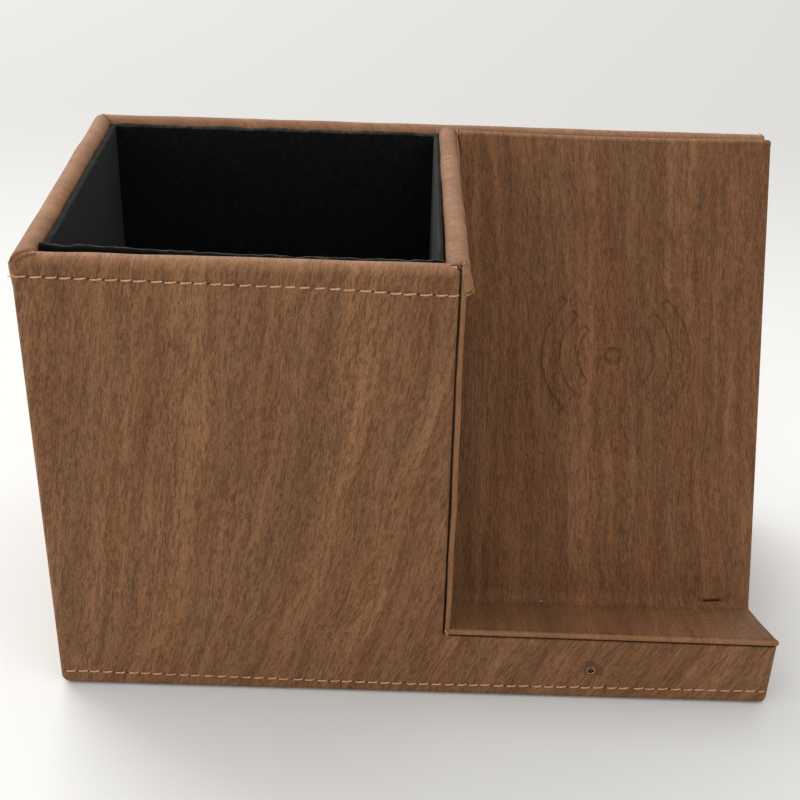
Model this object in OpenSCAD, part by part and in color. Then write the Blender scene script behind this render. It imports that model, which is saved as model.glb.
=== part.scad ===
/* [Body] */
// Overall width over the covering
body_w = 180; // [170:1:200]
// Overall depth, from the thread on the front to the back covering
body_d = 92; // [90:1:96]
// Height of the rim above the desk
body_h = 120; // [116:1:130]
// Thickness of the wall boards
board_t = 3.4; // [3:0.1:3.6]
// Thickness of the wood-grain covering
skin_t = 0.8; // [0.7:0.05:0.9]
// Depth of the covering turned down inside the rims
turn_in = 14; // [10:1:16]

/* [Cup] */
// X position of the cup-side leather of the divider
divider_x = 2.7; // [0:0.1:4]
// Thickness of the felt-lined cards in the cup
lining_t = 1.5; // [1.2:0.1:1.8]
// Drop of the lining's top edge below the rim
lining_drop = 1.2; // [0.8:0.1:2]

/* [Phone rest] */
// Y position of the fold between the ledge and the rest
fold_y = -18; // [-20:0.5:-16]
// Height of the fold above the desk
fold_z = 9; // [8:0.5:10]
// Height of the ledge's nose at the front
nose_z = 20.7; // [20:0.1:22]
// Y position of the rest's crest at the rim
crest_y = 38; // [37:0.1:38.1]
// Thickness of the card behind the rest's covering
rest_card_t = 1.7; // [1.4:0.1:1.8]
// Thickness of the card under the ledge's covering
ledge_card_t = 0.5; // [0.4:0.1:0.8]

/* [Pressed mark] */
// Distance of the mark's centre up the slope from the fold
mark_s = 66.6; // [60:0.1:72]
// X position of the mark's centre
mark_x = 50.2; // [48:0.1:52]
// Depth of the pressed grooves
mark_depth = 0.35; // [0.2:0.05:0.5]

/* [Stitching] */
// Pitch of the stitches
stitch_pitch = 3.2; // [2.8:0.1:3.6]
// Height of the upper stitch line
stitch_top_z = 114.8; // [113:0.1:116]
// Height of the lower stitch line
stitch_low_z = 4; // [3.5:0.1:5]

/* [Charger] */
// Side of the square charging module
module_side = 66; // [60:1:70]
// Depth of the charging module's tray
module_depth = 9; // [8:0.5:10]
// Outer radius of the transmit coil
coil_r = 24.5; // [22:0.5:25]
// Height of the receptacle's centre above the desk
port_z = 15.5; // [14:0.5:18]

/* [Indicator] */
// X position of the light hole in the front strip
led_x = 44.2; // [40:0.1:48]
// Height of the light hole
led_z = 9.6; // [8:0.1:11]
// Radius of the light hole
led_r = 0.95; // [0.7:0.05:1.2]

/* [Hidden] */
$fn = 48;
e = 0.01;
xl = -body_w / 2;          // left face
xr = body_w / 2;           // right face
yf = -body_d / 2 + 0.2;    // front covering, the thread stands 0.2 proud of it
yb = body_d / 2;           // back covering
wall = board_t + 2 * skin_t;
bot = 1.1;                 // underside of the boards
xi = xl + skin_t;          // outer face of the left board
yfi = yf + skin_t;         // outer face of the front board
ybi = yb - skin_t;         // outer face of the back board
zt = body_h - skin_t;      // top of the boards
dx0 = divider_x + skin_t;  // cup-side face of the divider board
dx1 = dx0 + 2.6;           // rest-side face of the divider board
dskin = dx1 + 1.4;         // rest-side covering of the divider
seam_x = dx1 - 0.2;        // edge of the front panel beside the divider
flap_x = dskin + 0.4;      // outer face of the rim flap
rest_x0 = flap_x;          // left edge of the rest's cover
side_t = 1.1;              // covering and gap outside the side wedge
rest_len = sqrt(pow(crest_y - fold_y, 2) + pow(body_h - fold_z, 2));
rest_a = atan2(body_h - fold_z, crest_y - fold_y);      // slope of the rest from the desk
ledge_len = sqrt(pow(fold_y - yf, 2) + pow(nose_z - fold_z, 2));
ledge_a = atan2(nose_z - fold_z, fold_y - yf);          // slope of the ledge
strip_z = nose_z - (skin_t + ledge_card_t) / cos(ledge_a);  // top of the front strip
floor_z = bot + 3.3;       // top of the base board
// Y-Z directions: up the rest, out of the rest, up the ledge, out of the ledge
rd = [cos(rest_a), sin(rest_a)];
rn = [-sin(rest_a), cos(rest_a)];
ld = [-cos(ledge_a), sin(ledge_a)];
ln = [sin(ledge_a), cos(ledge_a)];
fold_pt = [fold_y, fold_z];
// Where a plane a under the rest meets a plane b under the ledge
function under_fold(a, b) = let (k = rn * ln) fold_pt - (a - b * k) / (1 - k * k) * rn - (b - a * k) / (1 - k * k) * ln;

// Places children in the rest's plane: local X across, Y up the slope, Z out of the covering, origin on the fold.
module on_rest() translate([0, fold_y, fold_z]) rotate([rest_a, 0, 0]) children();
// The charging module's own frame, Z = 0 on the back of the card
module on_module() on_rest() translate([mark_x, mark_s, -skin_t - rest_card_t]) children();
// A prism along X from a Y-Z outline
module prism_x(x0, x1, pts) translate([x0, 0, 0]) rotate([90, 0, 90]) linear_extrude(x1 - x0) polygon(pts);
// A prism along Y from an X-Z outline
module prism_y(y0, y1, pts) translate([0, y1, 0]) rotate([90, 0, 0]) linear_extrude(y1 - y0) polygon(pts);
module box(a, b) translate(a) cube(b - a);
// Removes everything above a plane parallel to the ledge, set down by d from its covering
module above_ledge(d) translate([xl - 5, fold_y, fold_z]) rotate([-ledge_a, 0, 0])
    translate([0, -60, -d]) cube([body_w + 10, 100, 60]);

// ---- boards ----
module base_liner() color([0.10, 0.10, 0.10])
    box([xl + 3, yf + 3, 0], [xr - 3, yb - 3, bot]);

module base_board() color([0.62, 0.50, 0.36])
    box([xi + board_t, yfi + board_t, bot], [xr - 1.1 - 3.4, ybi - board_t, floor_z]);

// L-shaped front board: full height beside the cup, a low strip under the ledge
module front_board() color([0.62, 0.50, 0.36]) difference() {
    prism_y(yfi, yfi + board_t, [[xi, bot], [xr - side_t, bot], [xr - side_t, 22], [seam_x - skin_t, 22], [seam_x - skin_t, zt - 1.2],
                     [seam_x - skin_t, zt], [xi, zt]]);
    intersection() {
        above_ledge(2 * skin_t + ledge_card_t);
        box([seam_x - skin_t - e, yf - 1, 10], [xr + 5, 0, 30]);
    }
    // rounded rim
    for (y = [yfi, yfi + board_t]) translate([xl - 1, y, zt]) rotate([45, 0, 0]) translate([0, -0.85, -0.85]) cube([100 + divider_x, 1.7, 1.7]);
    translate([led_x, yf + 2, led_z]) rotate([90, 0, 0]) cylinder(r = led_r, h = 12, center = true);
}

module left_wall_board() color([0.62, 0.50, 0.36])
    prism_y(yfi + board_t, ybi - board_t, [[xi, bot], [xi + board_t, bot], [xi + board_t, zt - 1.2], [xi + board_t - 1.2, zt], [xi + 1.2, zt], [xi, zt - 1.2]]);

module back_board() color([0.62, 0.50, 0.36]) difference() {
    prism_x(xi, xr - side_t, [[ybi, bot], [ybi, zt - 1.2], [ybi - 1.2, zt], [ybi - board_t + 1.2, zt], [ybi - board_t, zt - 1.2], [ybi - board_t, bot]]);
    box([mark_x - 7.5, ybi - 10, port_z - 5], [mark_x + 7.5, ybi + 5, port_z + 5]);
}

module divider_board() color([0.62, 0.50, 0.36])
    prism_y(yfi + board_t, ybi - board_t, [[dx0, floor_z], [dx1, floor_z], [dx1, zt - 1.2], [dx1 - 1.2, zt], [dx0 + 1.2, zt], [dx0, zt - 1.2]]);

// Wedge that closes the right end under the rest: outline under the covers
module wedge_outline(x0, x1, drop, zlow, yback, ztop) {
    intersection() {
        prism_x(x0, x1, [[yfi + board_t, zlow], [yback, zlow], [yback, zt], [crest_y + drop / sin(rest_a), zt],
            [fold_y + drop * 1.02, fold_z - drop * 1.02], [yfi + board_t, fold_z + (fold_y - yfi - board_t) * tan(ledge_a) - drop / cos(ledge_a)]]);
        box([x0, -60, 0], [x1, 60, ztop]);
    }
}
module side_wedge_board() color([0.62, 0.50, 0.36])
    wedge_outline(xr - side_t - 3.4, xr - side_t, skin_t + rest_card_t + 0.15, bot, ybi - board_t - 0.05, zt - 1.3);

module divider_side_card() color([0.70, 0.62, 0.50])
    box([dx1, yfi + board_t, floor_z], [dx1 + 0.6, ybi - board_t, zt - 1.4]);

module rest_card() color([0.70, 0.62, 0.50]) on_rest()
    translate([rest_x0 + 0.6, 1.6, -skin_t - rest_card_t]) cube([xr - rest_x0 - 1.2, rest_len - 3.0, rest_card_t]);

module ledge_card() color([0.70, 0.62, 0.50])
    translate([rest_x0 + 0.6, fold_y, fold_z]) rotate([-ledge_a, 0, 0])
        translate([0, -ledge_len + 0.9, -skin_t - ledge_card_t]) cube([xr - rest_x0 - 1.2, ledge_len - 2.0, ledge_card_t]);

// ---- covering ----
// Front panel covering: face, edges turned round the rim, the ends and the underside
module front_skin() color([0.47, 0.32, 0.22]) difference() {
    union() {
        // face
        prism_y(yf, yfi, [[xl, 0.3], [xr - 0.3, 0.3], [xr - 0.3, 21], [seam_x, 21], [seam_x, body_h - 1], [xl, body_h - 1]]);
        // rim and the part turned down into the cup
        prism_x(xl, seam_x, [[yf, body_h - 1.4], [yf + 1.4, body_h], [yfi + board_t + skin_t - 1.4, body_h], [yfi + board_t + skin_t, body_h - 1.4],
                [yfi + board_t + skin_t, body_h - turn_in], [yfi + board_t, body_h - turn_in], [yfi + board_t, zt - 1.2], [yfi + board_t - 1.2, zt],
                [yfi + 1.2, zt], [yfi, zt - 1.2], [yfi, body_h - 3], [yf, body_h - 3]]);
        // left end
        box([xl, yf, 0.3], [xi, yfi + board_t, body_h - 1.0]);
        // edge beside the divider
        box([seam_x - skin_t, yf, 18], [seam_x, yfi + board_t, body_h - 1.0]);
        // underside
        box([xl, yf, 0.3], [xr - 0.3, yf + 3, bot]);
        // right end
        box([xr - side_t, yf, 0.3], [xr - 0.3, yfi + board_t, 22]);
        // top of the low strip
        intersection() {
            difference() {
                box([seam_x - skin_t, yf, 10], [xr - 0.3, yfi + board_t, 24]);
                above_ledge(skin_t + ledge_card_t);
            }
            above_ledge(2 * skin_t + ledge_card_t);
        }
    }
    intersection() {
        above_ledge(skin_t + ledge_card_t);
        box([seam_x, yf - 1, 10], [xr + 5, 0, 30]);
    }
    // room for the left and divider pieces behind the rim
    box([dx0 - skin_t, yfi + board_t, body_h - turn_in - 1], [seam_x + 1, yfi + board_t + 5, body_h + 1]);
    box([xl - 1, yfi + board_t, body_h - turn_in - 1], [xi + board_t + skin_t, yfi + board_t + 5, body_h + 1]);
    box([xl - 1, yfi + board_t, -1], [xi + board_t, yfi + board_t + 1, body_h + 1]);
    translate([led_x, yf + 2, led_z]) rotate([90, 0, 0]) cylinder(r = led_r, h = 12, center = true);
}

// One strip round the left wall and the back
module wrap_profile_left(x0) prism_y(yfi + board_t, yb, [[xl, 0.3], [xl + 3, 0.3], [xl + 3, bot], [xi, bot], [xi, zt - 1.2], [xi + 1.2, zt],
        [xi + board_t - 1.2, zt], [xi + board_t, zt - 1.2], [xi + board_t, body_h - turn_in], [xi + board_t + skin_t, body_h - turn_in],
        [xi + board_t + skin_t, body_h - 1.4], [xi + board_t + skin_t - 1.4, body_h], [xl + 1.4, body_h], [xl, body_h - 1.4]]);
module wrap_profile_back() prism_x(xl, xr - 0.3, [[yb, 0.3], [yb, body_h - 1.4], [yb - 1.4, body_h], [ybi - board_t - skin_t + 1.4, body_h],
        [ybi - board_t - skin_t, body_h - 1.4], [ybi - board_t - skin_t, body_h - turn_in], [ybi - board_t, body_h - turn_in],
        [ybi - board_t, zt - 1.2], [ybi - board_t + 1.2, zt], [ybi - 1.2, zt], [ybi, zt - 1.2], [ybi, bot], [yb - 3, bot], [yb - 3, 0.3]]);
module body_wrap_skin() color([0.47, 0.32, 0.22]) difference() {
    union() {
        difference() {
            wrap_profile_left();
            // the left strip stops at the back board
            box([xi, ybi - board_t, 0], [xi + 20, yb + 1, body_h + 1]);
            box([xl - 1, ybi, 0], [xi + 20, yb + 1, body_h + 1]);
            box([xl - 1, ybi - board_t, body_h - 1.5], [xi + 20, yb + 1, body_h + 1]);
        }
        difference() {
            wrap_profile_back();
            // the divider's and rest's tops meet the back wall here
            box([dx0 - skin_t, 0, body_h - turn_in - 1], [flap_x + 0.05, ybi - board_t, body_h + 1]);
            box([dskin, 0, body_h - turn_in - 1], [xr + 1, ybi - board_t, zt - 1.2]);
            box([xl - 1, 0, body_h - turn_in - 1], [xi + board_t + skin_t, ybi - board_t, body_h + 1]);
            // the side wedge's covering closes the right end
            box([xr - side_t, 0, -1], [xr + 1, ybi, body_h + 1]);
            // end caps stay clear of the left strip
            box([xl - 1, 0, 0], [xi, ybi, body_h - 1.5]);
        }
    }
    // receptacle opening
    translate([mark_x, 0, port_z]) rotate([-90, 0, 0]) linear_extrude(60) square([15, 10], center = true);
}

module side_wedge_skin() color([0.47, 0.32, 0.22]) difference() {
    wedge_outline(xr - side_t, xr - 0.3, skin_t + rest_card_t + 0.15, 0.3, ybi, 200);
    box([xr - side_t - 1, ybi, 0], [xr + 1, yb + 1, body_h]);
}

module divider_side_skin() color([0.47, 0.32, 0.22]) {
    box([dx1 + 0.6, yf, floor_z + 16], [dskin, ybi - board_t - skin_t, zt - 1.4]);
}

// Strip that covers the divider's rim, turned down on the cup side and left as a short flap on the rest side
module divider_rim_wrap() color([0.50, 0.34, 0.24])
    prism_y(yfi + board_t, ybi - board_t, [[dx0 - skin_t, body_h - turn_in], [dx0, body_h - turn_in], [dx0, zt - 1.2], [dx0 + 1.2, zt], [dx1 - 1.2, zt], [dx1, zt - 1.2],
        [dx1, zt - 1.4], [dskin, zt - 1.4], [dskin, body_h - 6], [flap_x, body_h - 6], [flap_x, body_h - 1.6], [flap_x - 1.6, body_h], [dx0 - skin_t + 1.4, body_h], [dx0 - skin_t, body_h - 1.4]]);

// One sheet over the rest and the ledge, with the mark pressed into it
module mark_grooves() {
    for (g = [[9.2, 11.0], [14.0, 16.0], [18.8, 20.8]]) for (s = [0, 180]) rotate([0, 0, s])
        rotate([0, 0, -48]) rotate_extrude(angle = 96) translate([g[0], -mark_depth]) square([g[1] - g[0], mark_depth + 1]);
    rotate_extrude() translate([1.3, -mark_depth]) square([0.9, mark_depth + 1]);
}
module rest_cover_skin() color([0.45, 0.30, 0.21]) difference() {
    union() {
        // sheet, turned over the card's top edge and the ledge's nose
        prism_x(rest_x0, xr - 0.6, [fold_pt + ledge_len * ld, fold_pt, fold_pt + rest_len * rd, fold_pt + rest_len * rd - (skin_t + rest_card_t) * rn,
            fold_pt + (rest_len - 1.4) * rd - (skin_t + rest_card_t) * rn, fold_pt + (rest_len - 1.4) * rd - skin_t * rn, under_fold(skin_t, skin_t),
            fold_pt + (ledge_len - 0.9) * ld - skin_t * ln, fold_pt + (ledge_len - 0.9) * ld - (skin_t + ledge_card_t) * ln, [yf, strip_z]]);
        // turned round the right edge
        prism_x(xr - 0.6, xr, [fold_pt + ledge_len * ld, fold_pt, fold_pt + rest_len * rd, fold_pt + rest_len * rd - (skin_t + rest_card_t) * rn,
            under_fold(skin_t + rest_card_t, skin_t + ledge_card_t), [yf, strip_z]]);
    }
    on_rest() translate([mark_x, mark_s, 0]) mark_grooves();
}

// ---- cup lining ----
lt = body_h - lining_drop;
cx0 = xi + board_t + skin_t;   // cup-side faces of the turned-in covering
cy0 = yfi + board_t + skin_t;
cx1 = dx0 - skin_t;
cy1 = ybi - board_t - skin_t;
module lining_left() color([0.05, 0.05, 0.05]) box([cx0, cy0 + lining_t, floor_z + lining_t], [cx0 + lining_t, cy1 - lining_t, lt]);
module lining_right() color([0.05, 0.05, 0.05]) box([cx1 - lining_t, cy0 + lining_t, floor_z + lining_t], [cx1, cy1 - lining_t, lt]);
module lining_back() color([0.05, 0.05, 0.05]) box([cx0, cy1 - lining_t, floor_z + lining_t], [cx1, cy1, lt]);
module lining_front() color([0.05, 0.05, 0.05]) box([cx0, cy0, floor_z + lining_t], [cx1, cy0 + lining_t, lt]);
module lining_floor() color([0.05, 0.05, 0.05]) box([cx0, cy0, floor_z], [cx1, cy1, floor_z + lining_t]);

// ---- thread ----
module stitch_row(x0, x1, z) color([0.62, 0.47, 0.36])
    for (i = [0 : floor((x1 - x0) / stitch_pitch) - 1]) translate([x0 + (i + 0.14) * stitch_pitch, yf - 0.2, z - 0.2])
        cube([stitch_pitch * 0.72, 0.2, 0.4]);
module top_stitching() stitch_row(xl + 1.5, seam_x - 1, stitch_top_z);
module bottom_stitching() stitch_row(xl + 1.5, xr - 1.5, stitch_low_z);

// ---- charging module behind the rest ----
m = module_side / 2;
module module_tape() color([0.85, 0.85, 0.80]) on_module()
    for (s = [-1, 1]) translate([-m + 4, s * (m - 5) - 4, -0.3]) cube([module_side - 8, 8, 0.3]);
// Tray: thin front wall against the tape, four sides, four screw posts
module charger_tray() color([0.92, 0.92, 0.90]) on_module() difference() {
    translate([-m, -m, -0.3 - module_depth]) cube([module_side, module_side, module_depth]);
    difference() {
        translate([-m + 1.4, -m + 1.4, -0.3 - module_depth - 1]) cube([module_side - 2.8, module_side - 2.8, module_depth + 0.2]);
        for (x = [-1, 1]) for (y = [-1, 1]) translate([x * (m - 3.8), y * (m - 3.8), -12]) cylinder(r = 2.8, h = 13);
    }
    for (x = [-1, 1]) for (y = [-1, 1]) translate([x * (m - 3.8), y * (m - 3.8), -12]) cylinder(r = 0.85, h = 10.5);
    // lead outlet in the lower side
    translate([-6, -m - 1, -0.3 - module_depth - 1]) cube([12, 4, 3.4]);
}
module charger_cover() color([0.92, 0.92, 0.90]) on_module() difference() {
    translate([-m, -m, -0.3 - module_depth - 1.4]) cube([module_side, module_side, 1.4]);
    for (x = [-1, 1]) for (y = [-1, 1]) translate([x * (m - 3.8), y * (m - 3.8), -12]) cylinder(r = 1.15, h = 4);
    for (i = [-3 : 3]) translate([i * 5 - 1, 4, -12]) cube([2, 18, 5]);
}
module cover_screws() color([0.75, 0.75, 0.77]) on_module()
    for (x = [-1, 1]) for (y = [-1, 1]) translate([x * (m - 3.8), y * (m - 3.8), -0.3 - module_depth - 1.4]) difference() {
        union() {
            translate([0, 0, -1.2]) cylinder(r = 1.9, h = 1.2);
            cylinder(r = 0.85, h = 7);
        }
        for (a = [0, 90]) rotate([0, 0, a]) translate([-1.1, -0.25, -2]) cube([2.2, 0.5, 1.3]);
    }
zc = -0.3 - 0.8;   // inside face of the tray's front wall
module transmit_coil() color([0.72, 0.42, 0.22]) on_module() rotate_extrude()
    for (i = [0 : 9]) translate([10.5 + 0.7 + i * 1.4, zc - 0.6]) square([1.28, 1.16], center = true);
module ferrite_sheet() color([0.20, 0.20, 0.21]) on_module() translate([-26, -26, zc - 1.2 - 1.5]) cube([52, 52, 1.5]);
module charger_pcb() color([0.05, 0.30, 0.15]) on_module() difference() {
    translate([-27, -28, zc - 4.4]) cube([54, 56, 1.2]);
    for (x = [-1, 1]) for (y = [-1, 1]) translate([x * (m - 3.8), y * (m - 3.8), -12]) cylinder(r = 3.0, h = 13);
}
module controller_chip() color([0.08, 0.08, 0.08]) on_module() translate([-3, -6, zc - 4.4 - 0.9]) cube([6, 6, 0.9]);
module bridge_mosfets() color([0.08, 0.08, 0.08]) on_module()
    for (i = [0 : 3]) translate([8 + (i % 2) * 7, -10 + floor(i / 2) * 7, zc - 4.4 - 1.0]) cube([5, 4, 1.0]);
module resonant_capacitors() color([0.72, 0.60, 0.45]) on_module()
    for (i = [0 : 3]) translate([-20 + i * 4.2, 12, zc - 4.4 - 1.6]) cube([2.5, 3.2, 1.6]);
module power_inductor() color([0.22, 0.22, 0.24]) on_module() translate([-20, -10, zc - 4.4 - 2.0]) cube([7, 7, 2.0]);
module coil_leads() color([0.72, 0.42, 0.22]) on_module()
    for (s = [-1, 1]) translate([s * 3, 26.6, zc - 3.2]) cylinder(r = 0.5, h = 2.6);

// ---- power inlet and indicator ----
module usb_board() color([0.05, 0.30, 0.15]) box([mark_x - 8, yb - 17, floor_z + 5.4], [mark_x + 8, yb - 5.2, floor_z + 6.6 + port_z - floor_z - 8.23]);
module usb_shell() color([0.78, 0.78, 0.80]) translate([mark_x, yb - 0.9, port_z]) rotate([90, 0, 0]) difference() {
    linear_extrude(7.3) union() { square([9.0 - 3.26, 3.26], center = true); for (s = [-1, 1]) translate([s * 2.87, 0]) circle(d = 3.26); }
    translate([0, 0, -1]) linear_extrude(7.4) union() { square([8.4 - 2.66, 2.66], center = true); for (s = [-1, 1]) translate([s * 2.87, 0]) circle(d = 2.66); }
}
module usb_tongue() color([0.08, 0.08, 0.08]) translate([mark_x - 3.3, yb - 7.3, port_z - 0.35]) cube([6.6, 5.6, 0.7]);
module port_bezel() color([0.06, 0.06, 0.06]) translate([mark_x, yb, port_z]) rotate([90, 0, 0]) difference() {
    linear_extrude(2.6) square([15, 10], center = true);
    translate([0, 0, -1]) linear_extrude(5) union() { square([5.76, 3.3], center = true); for (s = [-1, 1]) translate([s * 2.88, 0]) circle(d = 3.3); }
}
module power_lead() color([0.85, 0.10, 0.08]) for (s = [-1, 1]) translate([mark_x + s * 1.0, 0, 0])
    rotate([0, 90, 0]) translate([0, 0, -0.7]) linear_extrude(1.4) polygon([for (p = [[-6.1, 26.5], [-6.1, 20], [-7.5, 19], [-7.5, 27.6]]) [-(-p[0] + floor_z), p[1]]]);
module led_lamp() color([0.9, 0.95, 0.9]) translate([led_x, yfi + board_t, led_z]) rotate([-90, 0, 0]) union() {
    cylinder(r = 1.5, h = 3.6);
    translate([0, 0, 3.6]) cylinder(r = 1.9, h = 1.0);
}
module led_leads() color([0.15, 0.15, 0.15]) for (s = [-1, 1])
    translate([led_x + s * 0.9 - 0.3, yfi + board_t + 4.6, led_z - 0.3]) cube([0.6, 8, 0.6]);

base_liner();
base_board();
front_board();
left_wall_board();
back_board();
divider_board();
side_wedge_board();
divider_side_card();
rest_card();
ledge_card();
front_skin();
body_wrap_skin();
side_wedge_skin();
divider_side_skin();
divider_rim_wrap();
rest_cover_skin();
lining_left();
lining_back();
lining_right();
lining_front();
lining_floor();
top_stitching();
bottom_stitching();
module_tape();
charger_tray();
charger_cover();
cover_screws();
transmit_coil();
ferrite_sheet();
coil_leads();
charger_pcb();
controller_chip();
bridge_mosfets();
resonant_capacitors();
power_inductor();
usb_board();
usb_shell();
usb_tongue();
port_bezel();
power_lead();
led_lamp();
led_leads();
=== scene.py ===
import math

import bpy
import numpy as np
from mathutils import Matrix, Vector


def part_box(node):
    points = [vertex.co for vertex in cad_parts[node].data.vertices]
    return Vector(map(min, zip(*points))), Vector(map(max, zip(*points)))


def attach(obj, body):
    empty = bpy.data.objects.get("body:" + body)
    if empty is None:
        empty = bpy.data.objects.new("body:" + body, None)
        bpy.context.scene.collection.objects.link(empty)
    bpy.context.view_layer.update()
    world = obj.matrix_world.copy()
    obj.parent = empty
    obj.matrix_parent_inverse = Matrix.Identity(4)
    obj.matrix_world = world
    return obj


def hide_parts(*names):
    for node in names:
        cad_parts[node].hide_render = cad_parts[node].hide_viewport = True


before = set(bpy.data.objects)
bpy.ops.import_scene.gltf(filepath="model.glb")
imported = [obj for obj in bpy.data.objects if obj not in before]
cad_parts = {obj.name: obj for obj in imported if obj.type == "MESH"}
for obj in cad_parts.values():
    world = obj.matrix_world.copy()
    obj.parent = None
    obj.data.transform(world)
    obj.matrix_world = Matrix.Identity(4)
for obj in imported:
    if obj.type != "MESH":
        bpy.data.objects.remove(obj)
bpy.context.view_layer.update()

MM = 0.001

# ------------------------------------------------------------------ measures, read from the CAD nodes (mm)


def span(node):
    lo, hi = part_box(node)
    return [v * 1000 for v in lo], [v * 1000 for v in hi]


(WX0, WY0, WZ0), (WX1, WY1, WZ1) = span("body_wrap_skin")
(FX0, FY0, FZ0), (FX1, FY1, FZ1) = span("front_skin")
(RX0, RY0, RZ0), (RX1, RY1, RZ1) = span("rest_cover_skin")
XL, XR = FX0, RX1                      # -90, 90
YF, YB = FY0, WY1                      # -45.8, 46
H = WZ1                                # 120
BOT = FZ0                              # 0.3
WALL = 5.0
SK = 0.8
DX0 = span("divider_rim_wrap")[0][0]   # 2.7, cup side of the divider
SEAM = span("divider_board")[1][0] - 0.2   # 7.0, edge of the front panel
DSK = span("divider_side_skin")[1][0]  # 8.6, rest side of the divider
RESTX = RX0                            # 9.0
LIN = {k: span("lining_" + k) for k in ("left", "right", "back", "front", "floor")}
(CX0, CY0, CZ0), (CX1, CY1, CZ1) = LIN["floor"]

FOLD = np.array([-18.0, 9.0])
CREST = np.array([38.0, H])
NOSE = np.array([YF, 20.7])
RD = (CREST - FOLD) / np.linalg.norm(CREST - FOLD)
RN = np.array([-RD[1], RD[0]])
LD = (NOSE - FOLD) / np.linalg.norm(NOSE - FOLD)
LN = np.array([LD[1], -LD[0]])
L2 = float(np.linalg.norm(CREST - FOLD))
L1 = float(np.linalg.norm(NOSE - FOLD))
MARK = (50.2, 66.6)                    # centre of the pressed mark: x, distance up the slope

rng = np.random.default_rng(7)


def smooth(a, b, x):
    t = np.clip((np.asarray(x, float) - a) / (b - a), 0, 1)
    return t * t * (3 - 2 * t)


class Waves:
    """Smooth repeatable unevenness: a sum of sine waves in 3D, value about -1 to 1."""

    def __init__(self, seed, wavelength, n=7):
        r = np.random.default_rng(seed)
        self.k = r.normal(size=(n, 3))
        self.k /= np.linalg.norm(self.k, axis=1)[:, None]
        self.k *= (2 * np.pi / (wavelength * r.uniform(0.6, 1.7, n)))[:, None]
        self.p = r.uniform(0, 2 * np.pi, n)
        self.n = n

    def __call__(self, P):
        return np.sin(P @ self.k.T + self.p).sum(axis=-1) / math.sqrt(self.n)


# ------------------------------------------------------------------ mesh helpers


def make(name, verts, faces, mat, grain=None, extra=None, smooth_shade=True, replaces=(), auto=None, ride=True):
    me = bpy.data.meshes.new(name)
    V = np.asarray(verts, float) * MM
    me.from_pydata(V.tolist(), [], [list(map(int, f)) for f in faces])
    me.validate()
    me.update()
    if grain is not None:
        a = me.attributes.new("grain", "FLOAT_VECTOR", "POINT")
        a.data.foreach_set("vector", np.asarray(grain, np.float32).ravel())
    for key, val in (extra or {}).items():
        a = me.attributes.new(key, "FLOAT", "POINT")
        a.data.foreach_set("value", np.asarray(val, np.float32).ravel())
    ob = bpy.data.objects.new(name, me)
    bpy.context.scene.collection.objects.link(ob)
    if isinstance(mat, (list, tuple)):
        for m in mat:
            me.materials.append(m)
    else:
        me.materials.append(mat)
    if smooth_shade:
        me.polygons.foreach_set("use_smooth", [True] * len(me.polygons))
        if auto is not None:
            me.set_sharp_from_angle(angle=math.radians(auto))
    if ride:
        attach(ob, "root")
    if replaces:
        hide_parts(*replaces)
    return ob


def fix_normals(ob):
    import bmesh
    bm = bmesh.new()
    bm.from_mesh(ob.data)
    bmesh.ops.recalc_face_normals(bm, faces=bm.faces)
    bm.to_mesh(ob.data)
    bm.free()


def grid_faces(nu, nv, close_u=False, close_v=False, base=0):
    f = []
    for i in range(nu if close_u else nu - 1):
        i2 = (i + 1) % nu
        for j in range(nv if close_v else nv - 1):
            j2 = (j + 1) % nv
            f.append((base + i * nv + j, base + i2 * nv + j, base + i2 * nv + j2, base + i * nv + j2))
    return f


def tube(path, radii, sides=8, flat=1.0, up=(0, 1, 0)):
    """Closed tube along path (n,3) mm; flat squashes it along `up`."""
    P = np.asarray(path, float)
    n = len(P)
    T = np.gradient(P, axis=0)
    T /= np.linalg.norm(T, axis=1)[:, None]
    U = np.asarray(up, float)[None] - (T @ np.asarray(up, float))[:, None] * T
    U /= np.linalg.norm(U, axis=1)[:, None]
    S = np.cross(T, U)
    a = np.linspace(0, 2 * np.pi, sides, endpoint=False)
    r = np.broadcast_to(np.asarray(radii, float), (n,))
    V = P[:, None] + r[:, None, None] * (np.cos(a)[None, :, None] * S[:, None] + flat * np.sin(a)[None, :, None] * U[:, None])
    V = V.reshape(-1, 3)
    F = grid_faces(n, sides, close_v=True)
    F.append(tuple(range(sides))[::-1])
    F.append(tuple((n - 1) * sides + k for k in range(sides)))
    return V, F


# ------------------------------------------------------------------ material helpers


def new_mat(name):
    m = bpy.data.materials.new(name)
    m.use_nodes = True
    nt = m.node_tree
    for n in list(nt.nodes):
        nt.nodes.remove(n)
    out = nt.nodes.new("ShaderNodeOutputMaterial")
    bs = nt.nodes.new("ShaderNodeBsdfPrincipled")
    nt.links.new(bs.outputs[0], out.inputs[0])
    return m, nt, bs


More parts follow.
